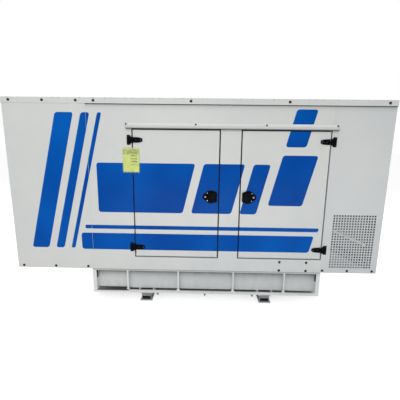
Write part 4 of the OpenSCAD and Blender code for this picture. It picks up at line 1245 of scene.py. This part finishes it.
def make_battery():
    """Starter battery on a steel tray: case with ribs, lid, caps, posts, and a clamp over it on two rods."""
    case, metal, caps, tray = begin_all(battery_case="battery_case", battery_posts="dull_zinc",
                                        battery_caps="machine_black", battery_tray="black_paint")
    low, high = BATTERY_LOW, BATTERY_HIGH
    block(case, (low.x, high.x), (low.y, high.y), (low.z, high.z - 0.03), 0.004)
    block(case, (low.x - 0.004, high.x + 0.004), (low.y - 0.004, high.y + 0.004), (low.z + 0.155, high.z),
          0.005, 3)
    for x in spaced(low.x + 0.02, high.x - 0.02, 7):
        block(case, span(x, 0.003), span(low.y, -0.003, 0.002), span(low.z, 0.01, 0.15), 0.001, 1)
    for x in spaced(low.x + 0.025, high.x - 0.025, 6):
        bars(caps, "Z", (x, -0.345), (*span(high.z, -0.001, 0.007), 0.013, 0.002))
    for x in (low.x + 0.025, high.x - 0.025):
        bars(metal, "Z", (x, low.y + 0.03), (*span(high.z, -0.001, 0.017), 0.009, 0.001, 20, 0.0075))
        bars(metal, "Z", (x, high.y + 0.012), (low.z - 0.012, high.z + 0.02, 0.004, 0.001, 12))
        block(metal, span(x, 0.012), (low.y + 0.055, high.y + 0.02), span(high.z, 0, 0.004), 0.001, 1)
    floor = FLOOR_Z + 0.004
    block(tray, (low.x - 0.02, high.x + 0.02), (low.y - 0.02, high.y + 0.025), (floor, low.z), 0.002)
    for y in (low.y - 0.022, high.y + 0.022):
        block(tray, (low.x - 0.022, high.x + 0.022), span(y, 0, 0.003), (floor, low.z + 0.022), 0.001, 1)


# ---- Linings inside the canopy and on its doors ----

def make_canopy_linings():
    """Foam slabs on the inside of the back doors, the roof and the inlet end, glued edge to edge."""
    bm = begin("canopy_linings", "sound_foam", smooth=False)
    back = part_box("back_door_left")[1].y
    for low, high in LININGS.values():
        half = (low.z + high.z) / 2
        for zs in ((low.z, half - 0.001), (half + 0.001, high.z)):
            block(bm, (low.x, high.x), (back - 0.023, back - 0.0035), zs, 0.004)
    for x, y in product(spaced(SEAM_X + 0.04, SEAM_X + 2.04, 5), (-0.265, 0.265)):
        block(bm, span(x, 0, 0.496), span(y, 0.262), span(ROOF_Z, -0.0275, -0.0035), 0.004)
    for y in (-0.265, 0.265):
        block(bm, span(RIGHT_END, -0.0255, -0.0035), span(y, 0.25), (0.98, 1.82), 0.004)


def make_door_insides():
    """Washers that hold each door's lining, and the cast housing of its latch."""
    washer = pattern(disc, 0.014, -0.001, 0.0022, 20, 0.001)
    for door, (low, high) in LININGS.items():
        body = door + "_door"
        washers = begin(body + "_lining_washers", "dull_zinc", body)
        housing = begin(body + "_latch_housing", "machine_black", body, "black_die_casting")
        for x, z in product(spaced(low.x + 0.09, high.x - 0.09, 3), spaced(low.z + 0.09, high.z - 0.09, 5)):
            stamp(washers, washer, (x, high.y, z), "back")
        x, _, z = (LOCKS[door][0] + LOCKS[door][1]) / 2
        block(housing, span(x, 0.034), span(high.y, -0.004, 0.013), span(z, 0.045), 0.006, 3)
        bars(housing, "Y", (x, z), (*span(high.y, 0.01, 0.017), 0.017, 0.002))
        for up in (-0.034, 0.034):
            stamp(housing, SCREW, (x, high.y + 0.013, z + up), "back")


# ---- Livery: blue film in slanted bars and bands ----

FILM_OUT, FILM_BACK = 0.0006, 0.0001
FILM_CORNER, CORNER_SHARE = 0.022, 0.4
FILM_RETURN, RETURN_T = 0.022, 0.0004
DOOR_GAP = 0.012
SLANT = math.tan(math.radians(14))
# Left and right at the foot, foot and top over the canopy's foot, slant of the left side; the right one leans
FILM_SHAPES = (
    (-1.5, -1.345, 0.2, 1.4, SLANT), (-1.28, -1.205, 0.2, 1.4, SLANT), (-1.14, -1.105, 0.2, 1.4, SLANT),
    (-0.87, -0.12, 0.54, 0.98, 0.0), (-0.045, 0.31, 0.54, 0.98, SLANT), (0.385, 0.53, 0.54, 0.98, SLANT),
    (-1.04, 1.02, 0.19, 0.345, 0.0), (-1.0, 1.09, 0.385, 0.42, 0.0),
    (0.63, 0.93, 0.62, 1.06, SLANT), (0.755, 0.93, 1.13, 1.44, SLANT))


def slanted_face(x0, x1, z0, z1, left_slant):
    """Flat bar at the panel with round corners, whose ends may lean to the right as they rise."""
    bm, rise = bmesh.new(), z1 - z0
    corners = (x0, z0), (x1, z0), (x1 + SLANT * rise, z1), (x0 + left_slant * rise, z1)
    bm.faces.new([bm.verts.new((x, FRONT - FILM_BACK, CANOPY_Z + z)) for x, z in corners])
    shortest = min(edge.calc_length() for edge in bm.edges)
    round_off(bm, bm.verts, min(FILM_CORNER, shortest * CORNER_SHARE), 5, "VERTICES")
    return bm


def cut_to(bm, xs, zs):
    """Keeps what lies within these ranges."""
    for at, normal in (((xs[0], 0, 0), (-1, 0, 0)), ((xs[1], 0, 0), (1, 0, 0)),
                       ((0, 0, zs[0]), (0, 0, -1)), ((0, 0, zs[1]), (0, 0, 1))):
        geom = [*bm.verts, *bm.edges, *bm.faces]
        bmesh.ops.bisect_plane(bm, geom=geom, dist=1e-6, plane_co=at, plane_no=normal, clear_outer=True)


def fold_into_gap(joined, bm, x, sign):
    """Folds the edge that film was cut to at a door gap back into the gap."""
    for edge in bm.edges:
        if all(abs(vert.co.x - x) < 1e-5 for vert in edge.verts):
            block(joined, (x + sign * FILM_BACK, x + sign * (FILM_BACK + RETURN_T)),
                  (FRONT - FILM_OUT, FRONT + FILM_RETURN), [vert.co.z for vert in edge.verts])


def film_fields():
    """Fields that film is cut to: name, body, X and Z ranges, and the sides folded into a door gap."""
    left, right = DOORS.values()
    door_z = (left[0].z - DOOR_GAP, left[1].z + DOOR_GAP)
    yield "radiator_side", "set", (LEFT_END + 0.003, SEAM_X - 0.001), (CANOPY_Z, ROOF_LOW.z), ()
    yield "left_side", "set", (SEAM_X + 0.001, left[0].x - DOOR_GAP), (CANOPY_Z, ROOF_LOW.z), (1,)
    yield "post", "set", (left[1].x + DOOR_GAP, right[0].x - DOOR_GAP), door_z, SIDES
    yield "right_side", "set", (right[1].x + DOOR_GAP, RIGHT_END), (CANOPY_Z, RAIL_HIGH.z - 0.044), (-1,)
    yield "foot", "set", (left[0].x - DOOR_GAP, right[1].x + DOOR_GAP), (CANOPY_Z, door_z[0]), ()
    yield "head", "set", (left[0].x - DOOR_GAP, RIGHT_END), (RAIL_HIGH.z, ROOF_LOW.z), ()
    for door, (low, high) in DOORS.items():
        yield door + "_door", door + "_door", (low.x, high.x), (low.z, high.z), SIDES


def add_mesh(bm, other):
    """Adds a copy of another mesh, which stays as it is."""
    mesh = bpy.data.meshes.new("copy")
    other.to_mesh(mesh)
    bm.from_mesh(mesh)
    bpy.data.meshes.remove(mesh)


def make_livery():
    """Film of each field, cut from the shapes, and the same film mirrored on the back."""
    back = bmesh.new()
    for field, body, xs, zs, gap_sides in film_fields():
        joined = bmesh.new()
        for shape in FILM_SHAPES:
            bm = slanted_face(*shape)
            cut_to(bm, xs, zs)
            for sign in gap_sides if bm.faces else ():
                fold_into_gap(joined, bm, xs[0] if sign == -1 else xs[1], sign)
            if bm.faces:
                push(bm, bm.faces, (0, FILM_BACK - FILM_OUT, 0))
                add_mesh(joined, bm)
            bm.free()
        add_mesh(back, joined)
        if joined.faces:
            piece("film_" + field, joined, "blue_film", body, smooth=False)
    bmesh.ops.scale(back, vec=(1, -1, 1), verts=list(back.verts))
    piece("film_back", back, "blue_film", smooth=False)


# ---- Ticket over the left door's hinge gap ----

TICKET_X, TICKET_Z = -0.5645, 1.3655
TICKET_COLUMNS, TICKET_ROWS = 20, 14
TICKET_BOW, CORNER_LIFT = 0.0015, 0.012


def ticket_sheet(width, height, out, thickness):
    """Upright sheet of paper or film: a fine grid, bowed outwards, its lower right corner lifted."""
    bm = bmesh.new()
    where = Matrix.Translation((TICKET_X, FRONT - out, TICKET_Z)) @ FACING["front"]
    made = bmesh.ops.create_grid(bm, x_segments=TICKET_COLUMNS, y_segments=TICKET_ROWS, size=0.5,
                                 matrix=where @ Matrix.Diagonal((width, height, 1, 1)))
    layer = bm.loops.layers.uv.new("flat")
    for vert in made["verts"]:
        u, v = (vert.co.x - TICKET_X) / width + 0.5, (vert.co.z - TICKET_Z) / height + 0.5
        corner = max(0.0, u - 0.45) * max(0.0, 0.5 - v) * 4
        vert.co.y -= math.sin(math.pi * v) * TICKET_BOW + CORNER_LIFT * corner ** 1.6
        for loop in vert.link_loops:
            loop[layer].uv = (u, v)
    bmesh.ops.solidify(bm, geom=list(bm.faces), thickness=thickness)
    return bm


def make_ticket():
    """Job ticket in its sleeve, held on the panel and on the door across the gap."""
    for name, material, *sizes in (("ticket", "ticket_paper", 0.137, 0.201, 0.0022, 0.0003),
                                   ("ticket_sleeve", "clear_sleeve", 0.151, 0.219, 0.0034, 0.0002)):
        made = piece(name, ticket_sheet(*sizes), material, None)
        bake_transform(made)


# ---- Stage ----

SHADE_IN, SHADE_OUT, SHADE_EDGE = 0.18, 0.05, 0.03
FLOOR_SIZE, FLOOR_GLOW, WORLD_LIGHT = 40.0, 0.62, 0.34
WHITE, PALE, SHADED = ((tone, tone, tone, 1) for tone in (1, 0.86, 0.3))
YAW, PITCH, ROLL = map(math.radians, (-1.0175, 11.068, 0.685))
LENS_MM, SENSOR_MM = 27.0, 36.0
CAMERA_PLACE = (0.08, FRONT - 2.5975, CANOPY_Z + 1.171)
# Name, place, what it looks at, width and height, power
LAMPS = (("key_lamp", (-1.7, -5.4, 3.9), (-0.6, 0, 1.1), 4.2, 2.4, 121),
         ("low_lamp", (0.45, -3.6, 0.32), (0.35, 0, 0.3), 4.2, 0.6, 21),
         ("side_lamp", (4.4, -5.2, 0.7), (0, 0, 0.3), 1.6, 0.8, 12),
         ("top_lamp", (0.0, 0.5, 6.0), (0, 0, 1.0), 5.0, 4.0, 20),
         ("back_lamp", (1.0, 6.0, 3.6), (0, 0, 1.0), 5.0, 3.0, 120),
         ("left_lamp", (-6.6, 0.4, 2.4), (-1.6, 0.1, 1.1), 3.6, 2.6, 74),
         ("right_lamp", (6.6, 0.4, 2.4), (1.6, 0.1, 1.1), 3.6, 2.6, 74))


def away_from_base(t):
    """Mask of the floor: 1 in the open, 0 in the shade well under the base."""
    x, y, _ = t.parts()
    low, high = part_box("base_end_left")[0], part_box("base_end_right")[1]
    along = abs(x - (low.x + high.x) / 2) - ((high.x - low.x) / 2 + SHADE_OUT)
    return along.max(abs(y) - (high.y - SHADE_IN)).spread(-SHADE_EDGE, SHADE_EDGE)


def seen_in_picture(t):
    """1 for rays from the camera, from gloss and through glass."""
    rays = t.add("LightPath", output="Is Camera Ray")
    return rays.max(rays.of("Is Glossy Ray")).max(rays.of("Is Transmission Ray"))


def make_floor():
    """Pale floor that keeps the shadow and shows white to the camera; under the base its colour is painted
    darker as painted shade, and it does not glow.
    """
    bm, t = bmesh.new(), Material("floor_white", Roughness=0.9)
    bmesh.ops.create_grid(bm, x_segments=1, y_segments=1, size=FLOOR_SIZE)
    floor = bpy.data.objects.new("floor", to_mesh(bm, "floor"))
    bpy.context.scene.collection.objects.link(floor)
    open_floor, shader = away_from_base(t), Value(t, t.shader.outputs[0])
    # Painted shade: the floor's colour darkens under the base.
    t.link(t.mix(open_floor, SHADED, PALE), t.shader, "Base Color")
    glow = t.add("Emission", {"Color": WHITE, "Strength": open_floor * FLOOR_GLOW})
    glowing = t.add("AddShader", {0: shader, 1: glow})
    mixed = t.add("MixShader", {0: seen_in_picture(t), 1: shader, 2: glowing})
    t.link(mixed, t.tree.nodes["Material Output"], "Surface")
    floor.data.materials.append(t.material)


def make_world():
    """White surroundings that light the set less than they show."""
    world = bpy.data.worlds.new("studio")
    bpy.context.scene.world = world
    world.use_nodes = True
    t, background = Tree(world.node_tree), world.node_tree.nodes["Background"]
    background.inputs["Color"].default_value = WHITE
    t.link(seen_in_picture(t).spread(0.0, 1.0, WORLD_LIGHT, 1.0), background, "Strength")


def make_lamps():
    """Rectangular lamps, each turned towards what it lights."""
    for name, place, aim, width, height, power in LAMPS:
        light = bpy.data.lights.new(name, "AREA")
        light.shape = "RECTANGLE"
        light.size, light.size_y, light.energy = width, height, power
        lamp = bpy.data.objects.new(name, light)
        lamp.location = place
        lamp.rotation_euler = (Vector(aim) - Vector(place)).to_track_quat("-Z", "Y").to_euler()
        bpy.context.scene.collection.objects.link(lamp)


def make_camera():
    """Camera a little right of the set's middle and high over it, with a slight turn to the left and roll."""
    data = bpy.data.cameras.new("camera")
    data.lens, data.sensor_width = LENS_MM, SENSOR_MM
    camera = bpy.data.objects.new("camera", data)
    forward = Vector((math.sin(YAW) * math.cos(PITCH), math.cos(YAW) * math.cos(PITCH), -math.sin(PITCH)))
    side = Vector((math.cos(YAW), -math.sin(YAW), 0))
    over = side.cross(forward)
    right = side * math.cos(ROLL) + over * math.sin(ROLL)
    up = over * math.cos(ROLL) - side * math.sin(ROLL)
    axes = Matrix((right, up, -forward)).transposed().to_4x4()
    camera.matrix_world = Matrix.Translation(CAMERA_PLACE) @ axes
    bpy.context.scene.collection.objects.link(camera)
    bpy.context.scene.camera = camera


for make in (make_camera, make_floor, make_world, make_lamps, make_roof_bolts, make_panel_bolts,
             make_end_covers, make_rail_screws, make_lock_fittings, make_paddles, make_hinge_fittings,
             make_base_fittings, make_inlet_foam, make_door_rubbers, make_roof_seals, make_trims, make_livery,
             make_ticket, make_rocker_cover, make_block_castings, make_injection_pump, make_filters,
             make_starter, make_bell_fittings, make_air_cleaner, make_exhaust, make_alternator_bands,
             make_terminal_box, make_cabinet_door, make_cabinet_conduits, make_battery, make_canopy_linings,
             make_door_insides):
    make()
for planned in PLANNED:
    piece(*planned)

bpy.context.scene.view_settings.view_transform = "Standard"
